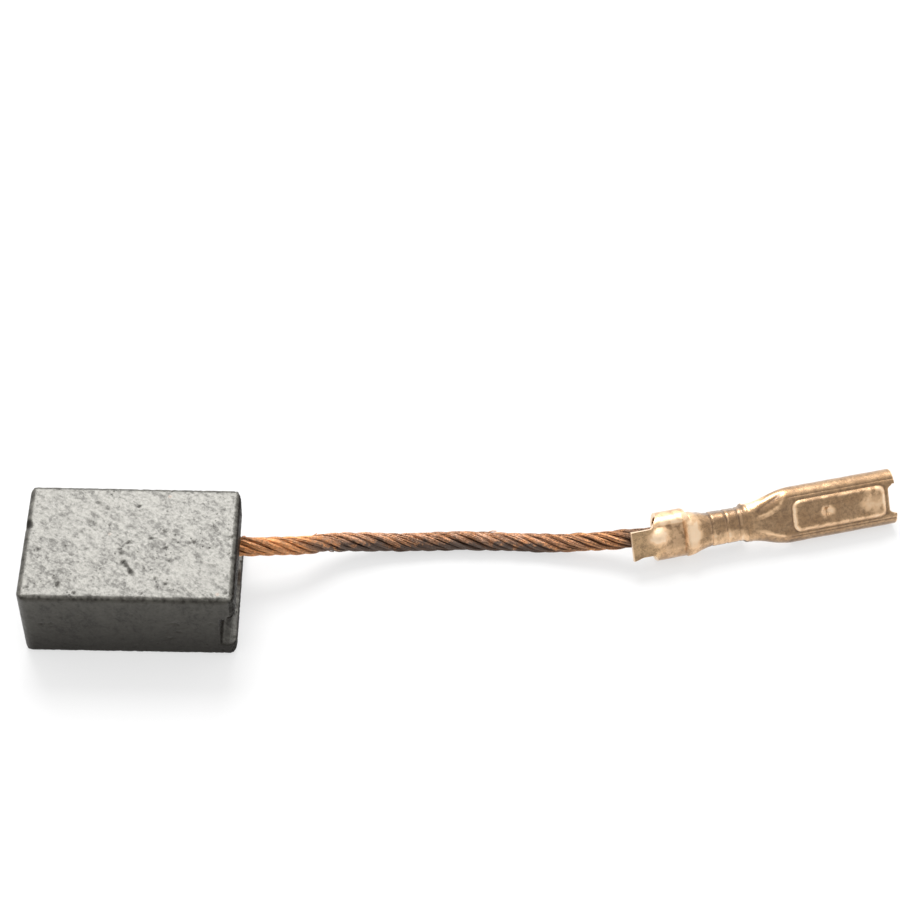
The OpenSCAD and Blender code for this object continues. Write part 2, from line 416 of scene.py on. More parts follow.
@dataclass(frozen=True)
class CopperFinish:
    """Bare copper wire: bright where it was handled, brown, and grey in patches along the lower,
    near side of its middle.
    """

    name: str = "copper_wire"
    bright: Colour = (0.90, 0.44, 0.19)
    brown: Colour = (0.46, 0.245, 0.145)
    tan: Colour = (0.62, 0.38, 0.26)
    grey: Colour = (0.105, 0.085, 0.075)
    deep: Colour = (0.085, 0.042, 0.025)
    fresh_until: float = 11.5
    dull_from: float = 12.8
    dull_until: float = 29.5
    mouth_shade_from: float = 32.4
    scuff_depth: float = 0.045

    def build(self) -> bpy.types.Material:
        """Mixes fresh, worn and grey copper along the lead, with painted shade at the terminal's
        mouth and in the grooves between the wires.

        Returns:
            The material.
        """
        tree = FinishTree(self.name)
        where = tree.millimetres()
        place = tree.add("ShaderNodeSeparateXYZ", {"Vector": where}).outputs
        along, across, height = (Value(tree, place[axis]) for axis in "XYZ")
        patches = tree.noise(where, 0.9, 5, 0.7, 0.6)
        blotches = tree.noise(where, 3.0, 5, 0.7, 0.3)
        fine = tree.noise(where, 8, 4, 0.7)
        wire = tree.attribute("wire_tone")
        fresh = tree.step(along, self.fresh_until - 2, self.fresh_until + 2, 1, 0)
        middle = tree.step(along, self.dull_from - 2.5, self.dull_from + 0.5)
        middle = middle * tree.step(along, self.dull_until - 2.5, self.dull_until + 2, 1, 0)
        # Greyer in patches along the lower, near side of the middle of the lead.
        level = height * 0.78 + across * 0.63 + patches * -2.9 + blotches * -0.5
        dull = middle * tree.step(level, 1.90, 1.55)
        worn = tree.step(blotches, 0.36, 0.62, 0, 0.75) + wire * 0.7
        worn = (worn + middle * 0.35 - fresh * 0.35 - 0.12).clamped()
        faded = tree.mix(middle * tree.step(patches, 0.42, 0.6), self.brown, self.tan)
        colour = tree.mix(worn, self.bright, faded)
        glint = tree.step(fine, 0.53, 0.66) * tree.step(wire, 0.3, 0.8)
        grey = dull * (0.92 - glint * 0.85)
        # Painted shade where the lead runs into the terminal's mouth.
        mouth_shade = tree.step(along, self.mouth_shade_from, self.mouth_shade_from + 1, 0, 0.75)
        colour = tree.mix(grey.most(mouth_shade), colour, self.grey)
        soot = tree.step(fine + wire * 0.2, 0.54, 0.74, 0, 0.6) * (1 - fresh * 0.5)
        # Painted shade in the grooves between the wires and on the core, with random dark specks.
        shaded = (tree.attribute("groove") * 0.85).most(soot)
        colour = tree.mix(shaded, colour, self.deep)
        rough = tree.step(fine, 0.3, 0.75, 0.40, 0.58) + grey * 0.1
        return tree.surface(
            Base_Color=colour, Metallic=1 - grey * 0.5, Roughness=rough,
            Normal=tree.bump(fine, self.scuff_depth),
        )


@dataclass(frozen=True)
class BrassFinish:
    """Pressed brass strip: satin, finely mottled, with a light brown tarnish."""

    name: str = "pressed_brass"
    clean: Colour = (0.66, 0.420, 0.225)
    warm: Colour = (0.55, 0.325, 0.158)
    tarnish_and_shade: Colour = (0.19, 0.110, 0.056)
    light: Colour = (0.90, 0.60, 0.345)
    polished_and_highlight: Colour = (1.0, 0.775, 0.54)
    cut: Colour = (0.80, 0.525, 0.275)
    film: float = 0.7
    film_roughness: float = 0.3
    film_ior: float = 1.6
    grain_depth: float = 0.014
    lie: Point = (0, 0, 0)

    def build(self) -> bpy.types.Material:
        """Mixes the strip's mottle, its tarnish and painted shade, and its rubbed spots and painted
        highlights.

        Returns:
            The material.
        """
        tree = FinishTree(self.name)
        where = tree.millimetres()
        along = tree.millimetres((0.16, 3.2, 3.2), (0, 0, -self.lie[2]))
        rolled = tree.noise(along, 3.0, 4, 0.6)
        cloud = tree.noise(where, 0.8, 4, 0.6, 0.3)
        mottle = tree.noise(where, 3.4, 6, 0.72)
        speck = tree.noise(where, 9, 3, 0.6)
        blot = tree.noise(where, 1.9, 3, 0.55, 0.4)
        colour = tree.mix(tree.step(cloud, 0.35, 0.65), self.clean, self.warm)
        colour = tree.mix(tree.attribute("bare") * 0.85, colour, self.cut)
        colour = tree.mix(tree.step(mottle, 0.42, 0.64, 0, 0.55), colour, self.tarnish_and_shade)
        colour = tree.mix(tree.step(speck, 0.52, 0.68, 0, 0.38), colour, self.tarnish_and_shade)
        # Tarnish and painted shade, broken up by blots.
        grime_and_shade = (tree.attribute("stain_and_shade") * tree.step(blot, 0.36, 0.62, 1.1, 0.6)).clamped()
        colour = tree.mix(grime_and_shade, colour, self.tarnish_and_shade)
        # Rubbed wear and painted highlights, with a painted highlight along the cut edges.
        rubbed_and_lit = tree.attribute("rub_and_highlight").most(tree.attribute("edge"))
        bright = (rubbed_and_lit * 1.25 - tree.step(blot, 0.40, 0.62, 0, 0.38)).clamped()
        colour = tree.mix(tree.step(bright, 0, 0.6), colour, self.light)
        colour = tree.mix(tree.step(bright, 0.5, 1.0), colour, self.polished_and_highlight)
        rough = tree.step(mottle, 0.3, 0.7, 0.27, 0.42) + grime_and_shade * 0.12 + bright * 0.24
        height = rolled * 0.4 + mottle * 1.2 + speck * 0.5
        return tree.surface(
            Base_Color=colour, Metallic=1.0, Roughness=rough.clamped(),
            Normal=tree.bump(height, self.grain_depth), Coat_Weight=self.film,
            Coat_Roughness=self.film_roughness, Coat_IOR=self.film_ior,
        )


@dataclass(frozen=True)
class PaleFloorFinish:
    """A plain pale floor that keeps the shadow of what stands on it."""

    name: str = "pale_floor"
    colour: Colour = (0.90, 0.90, 0.90)
    glow: float = 0.62

    def build(self) -> bpy.types.Material:
        """Mixes a matte floor with an even white that only the camera's rays see.

        Returns:
            The material.
        """
        tree = FinishTree(self.name)
        path = tree.add("ShaderNodeLightPath").outputs
        camera, glossy, through = (
            Value(tree, path[f"Is {ray} Ray"]) for ray in ("Camera", "Glossy", "Transmission"))
        amount = camera.most(glossy).most(through) * self.glow
        matte = tree.add("ShaderNodeBsdfDiffuse", {"Color": (*self.colour, 1)})
        white = tree.add("ShaderNodeEmission", {"Color": (1, 1, 1, 1), "Strength": 1.0})
        both = tree.add("ShaderNodeMixShader",
                        {0: amount, 1: matte.outputs[0], 2: white.outputs[0]})
        tree.add("ShaderNodeOutputMaterial", {"Surface": both.outputs[0]})
        return tree.material


# --- Meshes -------------------------------------------------------------------------------


def smoothstep(low: float, high: float, value: np.ndarray | float) -> np.ndarray | float:
    """Eases a value from 0 to 1.

    Args:
        low: Where the rise starts.
        high: Where the rise ends; it may be below low, for a fall.
        value: The value or values to read.

    Returns:
        0 up to low, 1 from high, and an eased value between them.
    """
    t = np.clip((value - low) / (high - low), 0, 1)
    return t * t * (3 - 2 * t)


def line(away: np.ndarray, width: np.ndarray | float) -> np.ndarray:
    """Returns 1 along a line and 0 away from it, where it reaches a width to each side."""
    return np.exp(-((away / width) ** 2))


def noise_at(points: np.ndarray, scale: float) -> np.ndarray:
    """Returns a smooth noise at each point, with so many features a millimetre."""
    return np.array([noise.noise(Vector(p) * scale) for p in points])


def fractal_at(points: np.ndarray, scale: float, falloff: float) -> np.ndarray:
    """Returns a rough noise at each point, whose finer octaves fade with the falloff."""
    return np.array([noise.fractal(Vector(p) * scale, falloff, 2.0, 3) for p in points])


def new_object(name: str, data: bpy.types.ID) -> bpy.types.Object:
    """Makes an object, at the origin and in the scene.

    Args:
        name: The object's name.
        data: Its mesh, curve, lamp or camera.

    Returns:
        The object.
    """
    piece = bpy.data.objects.new(name, data)
    bpy.context.scene.collection.objects.link(piece)
    return piece


def drop_object(piece: bpy.types.Object) -> None:
    """Removes a working object and its data.

    Args:
        piece: The object, with a mesh or a curve.
    """
    data = piece.data
    bpy.data.objects.remove(piece)
    if isinstance(data, bpy.types.Mesh):
        bpy.data.meshes.remove(data)
    else:
        bpy.data.curves.remove(data)


def evaluated_mesh(piece: bpy.types.Object) -> bpy.types.Mesh:
    """Returns a plain copy of the mesh that an object's modifiers make."""
    graph = bpy.context.evaluated_depsgraph_get()
    return bpy.data.meshes.new_from_object(piece.evaluated_get(graph), depsgraph=graph)


def coordinates(mesh: bpy.types.Mesh, what: str = "co") -> np.ndarray:
    """Reads a mesh's vertices.

    Args:
        mesh: The mesh.
        what: "co" for their places, "normal" for their normals.

    Returns:
        One row for each vertex.
    """
    flat = np.empty(len(mesh.vertices) * 3)
    mesh.vertices.foreach_get(what, flat)
    return flat.reshape(-1, 3)


def set_coordinates(mesh: bpy.types.Mesh, points: np.ndarray) -> None:
    """Moves a mesh's vertices to these points."""
    mesh.vertices.foreach_set("co", np.ascontiguousarray(points, dtype=float).ravel())
    mesh.update()


def point_values(mesh: bpy.types.Mesh, name: str, values: np.ndarray) -> None:
    """Stores one number for each vertex, under this name."""
    attribute = mesh.attributes.new(name, "FLOAT", "POINT")
    attribute.data.foreach_set("value", np.ascontiguousarray(values, dtype=np.float32))


def smooth_curve(name: str, lines: Sequence[Sequence[tuple[Point, float]]]) -> bpy.types.Curve:
    """Makes a curve with a smooth line through each row of points.

    Args:
        name: The curve's name.
        lines: For each line, its points in millimetres with their share of full thickness.

    Returns:
        The curve.
    """
    curve = bpy.data.curves.new(name, "CURVE")
    curve.dimensions = "3D"
    for points in lines:
        spline = curve.splines.new("BEZIER")
        spline.bezier_points.add(len(points) - 1)
        for knot, (place, share) in zip(spline.bezier_points, points):
            knot.co = place
            knot.radius = share
            knot.handle_left_type = knot.handle_right_type = "AUTO"
    return curve


def finish_piece(piece: bpy.types.Object, node: str,
                 material: bpy.types.Material) -> None:
    """Gives a piece its material and its place on the part.

    Args:
        piece: The finished piece, in metres at the origin.
        node: The CAD node that it stands for.
        material: The material.
    """
    piece.data.materials.clear()
    piece.data.materials.append(material)
    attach(piece, ROOT_BODY)
    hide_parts(node)
    LOG.info("%s: %d faces", piece.name, len(piece.data.polygons))


def fine_skin(node: str, name: str, voxel: float) -> bpy.types.Object:
    """Copies a CAD solid as an even net of small faces, in millimetres.

    Args:
        node: The CAD node.
        name: The new object's name.
        voxel: The size of a face.

    Returns:
        The new object.
    """
    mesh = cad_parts[node].data.copy()
    set_coordinates(mesh, coordinates(mesh) / MM)
    net = bmesh.new()
    net.from_mesh(mesh)
    bmesh.ops.remove_doubles(net, verts=net.verts, dist=voxel / 50)
    net.to_mesh(mesh)
    net.free()
    rough = new_object(f"{name}_solid", mesh)
    remesh = rough.modifiers.new("skin", "REMESH")
    remesh.mode = "VOXEL"
    remesh.voxel_size = voxel
    skin = new_object(name, evaluated_mesh(rough))
    drop_object(rough)
    return skin


# --- Lead ---------------------------------------------------------------------------------


@dataclass
class TerminalLie:
    """Where the terminal's back lies: its carrier tab's end, its heading and its roll."""

    x: float = 33.5
    y: float = 3.4
    z: float = 0.0
    yaw: float = 14.0
    roll: float = 48.0

    @property
    def turn(self) -> Point:
        """The terminal's rotation in radians."""
        return math.radians(self.roll), 0, math.radians(self.yaw)

    def matrix(self) -> Matrix:
        """Returns the terminal's own frame: X along it, Z out of its back."""
        return Matrix.LocRotScale(Vector((self.x, self.y, self.z)), Euler(self.turn, "XYZ"), None)

    def place(self, along: float, across: float, out: float) -> Point:
        """Finds the point of the part at a point of the terminal.

        Args:
            along: Distance from the carrier tab's end.
            across: Distance from the middle, away from the side that it lies on.
            out: Distance out of the back.

        Returns:
            The point, in the part's frame.
        """
        return tuple(self.matrix() @ Vector((along, across, out)))


@dataclass
class TerminalSizes:
    """The terminal's sizes in millimetres, as in the solid."""

    sheet: float = 0.3
    tab_width: float = 1.85
    tab_length: float = 1.85
    barrel_width: float = 3.1
    barrel_depth: float = 2.3
    barrel_length: float = 2.15
    window_length: float = 0.45
    crimp_width: float = 2.4
    crimp_depth: float = 1.75
    crimp_length: float = 3.95
    crimp_corner: float = 0.62
    mouth_flare: float = 0.22
    mouth_length: float = 1.1
    bell_flare: float = 0.12
    bell_length: float = 0.35
    seam_gap: float = 0.06
    neck_length: float = 3.2
    box_width: float = 3.9
    box_height: float = 1.8
    box_length: float = 7.65
    roll_turn: float = 285.0
    panel_setback: float = 0.5
    emboss_length: float = 6.7
    emboss_width: float = 2.05
    emboss_radius: float = 0.45
    emboss_height: float = 0.2
    emboss_offset: float = 0.1
    dimple_diameter: float = 0.95
    dimple_depth: float = 0.28
    dimple_offset: float = 2.5

    @property
    def barrel_start(self) -> float:
        """Where the insulation barrel starts."""
        return self.tab_length

    @property
    def barrel_end(self) -> float:
        """Where the insulation barrel ends."""
        return self.barrel_start + self.barrel_length

    @property
    def crimp_start(self) -> float:
        """Where the wire crimp starts."""
        return self.barrel_end + self.window_length

    @property
    def crimp_end(self) -> float:
        """Where the wire crimp ends."""
        return self.crimp_start + self.crimp_length

    @property
    def box_start(self) -> float:
        """Where the receptacle starts."""
        return self.crimp_end + self.neck_length

    @property
    def box_end(self) -> float:
        """Where the receptacle ends."""
        return self.box_start + self.box_length

    @property
    def roll_radius(self) -> float:
        """The rolls' radius, on the sheet's middle layer."""
        return (self.box_height - self.sheet) / 2

    @property
    def box_flat(self) -> float:
        """Half the width of the receptacle's flat back."""
        return (self.box_width - self.sheet) / 2 - self.roll_radius

    @property
    def barrel_radius(self) -> float:
        """The insulation barrel's radius, on the sheet's middle layer."""
        return (self.barrel_depth - self.sheet) / 2

    @property
    def barrel_flat(self) -> float:
        """Half the width of the insulation barrel's flat back."""
        return (self.barrel_width - self.sheet) / 2 - self.barrel_radius

    def resting_height(self, roll: float) -> float:
        """Finds how high the back's middle is when the terminal lies on its lower roll.

        Args:
            roll: The terminal's roll, in degrees.

        Returns:
            The height.
        """
        lean, lift = math.sin(math.radians(roll)), math.cos(math.radians(roll))
        rounds = ((self.box_flat, self.roll_radius), (self.barrel_flat, self.barrel_radius))
        return max(flat * lean + radius * lift + radius + self.sheet / 2
                   for flat, radius in rounds)


class RopeTree(NodeTree):
    """Geometry nodes that lay strands of wires round a route.

    STRAND_OFFSET is how many turns a strand's wires are ahead of the last strand's.
    DEEP_FROM is the cosine of a wire's turn at which it lies deepest in the rope.
    WIRE_BENDS and STRAND_BENDS are how far apart the wires' and strands' uneven patterns
    lie, and how many bends they have per millimetre.
    """

    COUNTS = ("Strands", "Wires")
    SIZES = ("Strand Circle", "Wire Circle", "Wire Radius", "Strand Lay", "Wire Lay", "Step",
             "Wander", "Strand Wander", "Seed", "Core Radius")
    WIRE_SIDES = 5
    CORE_SIDES = 8
    STRAND_OFFSET = 0.37
    TONE_SEED = 11
    DEEP_FROM = -0.75
    WIRE_BENDS = (3.7, 0.75)
    STRAND_BENDS = (5.3, 0.33)

    def __init__(self, material: bpy.types.Material) -> None:
        """Makes the tree's inputs and nodes.

        Args:
            material: The wires' material.
        """
        super().__init__(bpy.data.node_groups.new("stranded_rope", "GeometryNodeTree"))
        face = self.tree.interface
        face.new_socket("Route", in_out="INPUT", socket_type="NodeSocketGeometry")
        for kind, names in (("NodeSocketInt", self.COUNTS), ("NodeSocketFloat", self.SIZES)):
            for name in names:
                face.new_socket(name, in_out="INPUT", socket_type=kind)
        face.new_socket("Rope", in_out="OUTPUT", socket_type="NodeSocketGeometry")
        self.inputs = self.add("NodeGroupInput").outputs
        route = self.add("GeometryNodeResampleCurve", {
            "Curve": self.inputs["Route"], "Length": self.inputs["Step"],
        }, mode="LENGTH")
        self.normal = self.add("GeometryNodeInputNormal").outputs[0]
        tangent = self.add("GeometryNodeInputTangent").outputs[0]
        self.side = self.vector("CROSS_PRODUCT", tangent, self.normal)
        joined = self.add("GeometryNodeJoinGeometry")
        for part in (self.core(route), self.wires(route)):
            self.tree.links.new(part.outputs[0], joined.inputs[0])
        real = self.add("GeometryNodeRealizeInstances", {"Geometry": joined.outputs[0]})
        dressed = self.add("GeometryNodeSetMaterial",
                           {"Geometry": real.outputs[0], "Material": material})
        self.add("NodeGroupOutput", {0: dressed.outputs[0]})

    def given(self, name: str) -> Value:
        """Returns one of the tree's inputs."""
        return Value(self, self.inputs[name])

    def stored(self, piece: bpy.types.Node, name: str, value: Value | float) -> bpy.types.Node:
        """Stores a number at every point of a geometry.

        Args:
            piece: The node that gives the geometry.
            name: The attribute's name.
            value: The number.

        Returns:
            The node that gives the geometry with the number.
        """
        return self.add("GeometryNodeStoreNamedAttribute", {
            "Geometry": piece.outputs[0], "Name": name, "Value": value,
        }, data_type="FLOAT", domain="POINT")

    def tube(self, curves: bpy.types.Node, sides: int, radius: Value) -> bpy.types.Node:
        """Makes closed tubes along curves.

        Args:
            curves: The node that gives the curves.
            sides: How many sides a tube has.
            radius: The tubes' radius.

        Returns:
            The node that gives the tubes.
        """
        ring = self.add("GeometryNodeCurvePrimitiveCircle",
                        {"Resolution": sides, "Radius": radius}, mode="RADIUS")
        return self.add("GeometryNodeCurveToMesh", {
            "Curve": curves.outputs[0], "Profile Curve": ring.outputs[0], "Fill Caps": True,
        })

    def spoke(self, turns: Value, radius: Value) -> bpy.types.NodeSocket:
        """Offsets a point round the route.

        Args:
            turns: How many turns round.
            radius: How far out.

        Returns:
            The offset.
        """
        angle = turns * math.tau
        first = self.vector("SCALE", self.normal, self.math("COSINE", angle))
        second = self.vector("SCALE", self.side, self.math("SINE", angle))
        return self.vector("SCALE", self.vector("ADD", first, second), radius)

    def stray(self, label: Value, gap: float, scale: float, reach: Value) -> bpy.types.NodeSocket:
        """Offsets a point unevenly along the route, in a way of its own for each label.

        Args:
            label: The wire's or strand's number.
            gap: How far apart the labels' patterns lie.
            scale: Bends per millimetre.
            reach: How far it strays.

        Returns:
            The offset.
        """
        uneven = self.add("ShaderNodeTexNoise", {
            "Vector": self.add("GeometryNodeInputPosition").outputs[0],
            "W": label * gap + self.given("Seed"), "Scale": scale, "Detail": 1.5,
        }, noise_dimensions="4D").outputs["Color"]
        return self.vector("SCALE", self.vector("SUBTRACT", uneven, (0.5, 0.5, 0.5)), reach)

    def core(self, route: bpy.types.Node) -> bpy.types.Node:
        """Makes the core that fills the middle of the rope, painted dark as the shade inside it.

        Args:
            route: The node that gives the route.

        Returns:
            The node that gives the core.
        """
        # The core carries the full groove value: painted shade inside the rope.
        return self.stored(self.tube(route, self.CORE_SIDES, self.given("Core Radius")),
                           "groove", 1.0)

    def wires(self, route: bpy.types.Node) -> bpy.types.Node:
        """Makes the wires, each with its number, its tone and its depth in the rope.

        Args:
            route: The node that gives the route.

        Returns:
            The node that gives the wires.
        """
        strands, wires = self.given("Strands"), self.given("Wires")
        copies = self.add("GeometryNodeDuplicateElements", {
            "Geometry": route.outputs[0], "Amount": strands * wires,
        }, domain="SPLINE")
        numbered = self.stored(copies, "wire_number",
                               Value(self, copies.outputs["Duplicate Index"]))
        number = self.value("GeometryNodeInputNamedAttribute", 0, {"Name": "wire_number"},
                            data_type="FLOAT")
        strand = self.math("FLOOR", (number + 0.5) / wires)
        wire = number - strand * wires
        along = self.value("GeometryNodeSplineParameter", "Length")
        strand_turns = along / self.given("Strand Lay") + strand / strands
        wire_turns = along / self.given("Wire Lay") + wire / wires + strand * self.STRAND_OFFSET
        wander = self.vector(
            "ADD", self.stray(number, *self.WIRE_BENDS, self.given("Wander")),
            self.stray(strand, *self.STRAND_BENDS, self.given("Strand Wander")))
        offset = self.vector("ADD", self.spoke(strand_turns, self.given("Strand Circle")),
                             self.spoke(wire_turns + strand_turns, self.given("Wire Circle")))
        share = self.add("GeometryNodeInputRadius").outputs[0]
        offset = self.vector("SCALE", self.vector("ADD", offset, wander), share)
        laid = self.add("GeometryNodeSetPosition",
                        {"Geometry": numbered.outputs[0], "Offset": offset})
        # How deep a wire lies in the rope, which the copper finish paints as shade.
        depth = self.value("ShaderNodeMapRange", 0, {
            "Value": self.math("COSINE", wire_turns * math.tau),
            "From Min": 0.0, "From Max": self.DEEP_FROM,
        })
        tone = self.value("FunctionNodeRandomValue", 1, {"ID": number, "Seed": self.TONE_SEED},
                          data_type="FLOAT")
        toned = self.stored(self.stored(laid, "groove", depth), "wire_tone", tone)
        even = self.add("GeometryNodeSetCurveRadius", {"Curve": toned.outputs[0], "Radius": 1.0})
        tubes = self.tube(even, self.WIRE_SIDES, self.given("Wire Radius"))
        return self.add("GeometryNodeSetShadeSmooth", {"Geometry": tubes.outputs[0]})


@dataclass
class StrandedLead:
    """A rope of seven strands round a core, each strand made of fine copper wires."""

    sizes: TerminalSizes
    lie: TerminalLie
    diameter: float = 1.3
    squeezed: float = 0.86
    loose_gap: float = 0.03
    tight_gap: float = 0.02
    core_radius: float = 0.26
    strands: int = 7
    wires: int = 13
    wire_fullness: float = 1.15
    strand_lay: float = 7.4
    wire_lay: float = 15.0
    step: float = 0.24
    wander: float = 0.19
    strand_wander: float = 0.20
    seed: int = 4
    hole_y: float = 2.2
    hole_z: float = 2.85
    start_x: float = 1.6
    powder_top: float = 5.5
    exit_x: float = 6.0
    overrun: float = 2.0
    stray_thickness: float = 0.7
    stray_wires: tuple[tuple[Point, ...], ...] = (
        ((6.95, 2.62, 3.10), (7.06, 2.80, 3.24), (7.24, 2.78, 3.22), (7.22, 2.58, 3.06)),
        ((11.3, 3.30, 2.50), (11.7, 3.52, 2.48), (12.0, 3.68, 2.56)),
        ((12.7, 3.18, 1.42), (12.95, 3.16, 1.26), (13.15, 3.22, 1.16)),
        ((23.7, 5.08, 1.20), (24.0, 5.14, 1.27), (24.3, 5.12, 1.30)),
    )
    free_route: tuple[Point, ...] = (
        (9, 2.4, 2.75), (11, 2.85, 2.3), (13, 3.65, 1.65), (15.5, 4.15, 1.1),
        (18, 4.4, 0.8), (20.5, 4.6, 0.7), (23, 4.7, 0.7), (25.5, 4.65, 0.7),
        (28, 4.55, 0.8), (30, 4.45, 1.1), (32, 4.4, 1.45),
    )
    centre_line: list[Point] = field(default_factory=list)

    @property
    def exit(self) -> Point:
        """Where the lead leaves the block, in metres."""
        return self.exit_x * MM, self.hole_y * MM, self.hole_z * MM

    def route(self) -> list[tuple[Point, float]]:
        """Lists the points that the lead runs through.

        Returns:
            The points in millimetres, each with its share of full thickness.
        """
        half_sheet = self.sizes.sheet / 2
        loose = half_sheet + self.diameter / 2 + self.loose_gap
        tight = half_sheet + self.squeezed / 2 + self.tight_gap
        share = self.squeezed / self.diameter
        start, end = self.sizes.barrel_start, self.sizes.barrel_end
        crimp_start, crimp_end = self.sizes.crimp_start, self.sizes.crimp_end
        hole = [(x, self.hole_y, self.hole_z)
                for x in (self.start_x, (self.start_x + self.powder_top) / 2, self.exit_x)]
        points = [(p, 1.0) for p in (*hole, *self.free_route)]
        points += [(self.lie.place(s, 0.1 * (end - s), -loose), 1.0)
                   for s in (0.4, start + 0.5, end - 0.3)]
        points += [(self.lie.place(s, 0, -tight), share)
                   for s in (crimp_start + 0.2, crimp_end - 0.2, crimp_end + self.overrun)]
        return points

    def wire_sizes(self) -> tuple[float, float, float]:
        """Finds how the wires fill the lead.

        Returns:
            The radius of the circle that the strands lie on, of that which a strand's wires
            lie on, and of a wire.
        """
        share = math.sin(math.pi / self.strands)
        strand_circle = self.diameter / 2 / (1 + share)
        strand_radius = strand_circle * share
        wire_radius = strand_radius * self.wire_fullness * math.sin(math.pi / self.wires)
        return strand_circle, strand_radius - wire_radius, wire_radius

    def build(self, material: bpy.types.Material) -> bpy.types.Object:
        """Builds the rope, and notes the centre line that it follows.

        Args:
            material: The wires' material.

        Returns:
            The rope, in metres.
        """
        route = new_object("lead_route", smooth_curve("lead_route", [self.route()]))
        strand_circle, wire_circle, wire_radius = self.wire_sizes()
        modifier = route.modifiers.new("rope", "NODES")
        modifier.node_group = RopeTree(material).tree
        values = {
            "Strands": self.strands, "Wires": self.wires, "Strand Circle": strand_circle,
            "Wire Circle": wire_circle, "Wire Radius": wire_radius,
            "Strand Lay": self.strand_lay, "Wire Lay": -self.wire_lay, "Step": self.step,
            "Wander": self.wander, "Strand Wander": self.strand_wander,
            "Core Radius": self.core_radius, "Seed": float(self.seed),
        }
        for item in modifier.node_group.interface.items_tree:
            if item.in_out == "INPUT" and item.name in values:
                modifier[item.identifier] = values[item.name]
        mesh = evaluated_mesh(route)
        set_coordinates(mesh, coordinates(mesh) * MM)
        self.add_strays(mesh, wire_radius)
        rope = new_object("lead_rope", mesh)
        route.modifiers.clear()
        line_mesh = evaluated_mesh(route)
        self.centre_line = [tuple(p) for p in coordinates(line_mesh) * MM]
        bpy.data.meshes.remove(line_mesh)
        drop_object(route)
        return rope

    def add_strays(self, mesh: bpy.types.Mesh, radius: float) -> None:
        """Adds the few wires that have sprung out of the rope.

        Args:
            mesh: The rope, in metres.
            radius: The wires' radius in millimetres.
        """
        lines = [[(place, 1.0) for place in points] for points in self.stray_wires]
        curve = smooth_curve("stray_wires", lines)
        curve.bevel_depth = radius * self.stray_thickness
        curve.bevel_resolution = 1
        curve.use_fill_caps = True
        loose = new_object("stray_wires", curve)
        wires = evaluated_mesh(loose)
        drop_object(loose)
        wires.transform(Matrix.Scale(MM, 4))
        wires.shade_smooth()
        joined = bmesh.new()
        joined.from_mesh(mesh)
        joined.from_mesh(wires)
        joined.to_mesh(mesh)
        joined.free()
        bpy.data.meshes.remove(wires)

    def length(self) -> float:
        """Returns the length of the centre line in metres."""
        steps = np.diff(np.array(self.centre_line), axis=0)
        return float(np.linalg.norm(steps, axis=1).sum())


# --- Terminal -----------------------------------------------------------------------------

Section = tuple[tuple[float, float], ...]

# The least distance between the neck's fold and the hollow outside it.
HOLLOW_GAP = 0.24


def arc(radius: float, turn: float) -> tuple[float, float]:
    """Returns the length and turn, in degrees, of a stretch of a section that bends."""
    return radius * math.radians(turn), turn


@dataclass(frozen=True)
class NeckFold:
    """The fold down the neck, beside its flat, and the hollow outside the fold.

    outside is how far outside the fold each point lies, beyond how far the hollow lies outside
    the fold, and strength how strong the two are there.
    """

    outside: np.ndarray
    beyond: np.ndarray
    strength: np.ndarray

    def ridge(self, inner: float, outer: float) -> np.ndarray:
        """Returns 1 along the fold and 0 away from it, with a reach of its own on each side."""
        return line(self.outside, np.where(self.outside < 0, inner, self.widened(outer)))

    def hollow(self, inner: np.ndarray, outer: float) -> np.ndarray:
        """Returns 1 along the hollow and 0 away from it, with a reach of its own on each side."""
        away = self.outside - self.beyond
        return line(away, np.where(away < 0, inner, outer))

    def widened(self, reach: float) -> np.ndarray:
        """Returns a reach that grows as the hollow leaves the fold."""
        return reach + 0.3 * (self.beyond - HOLLOW_GAP)


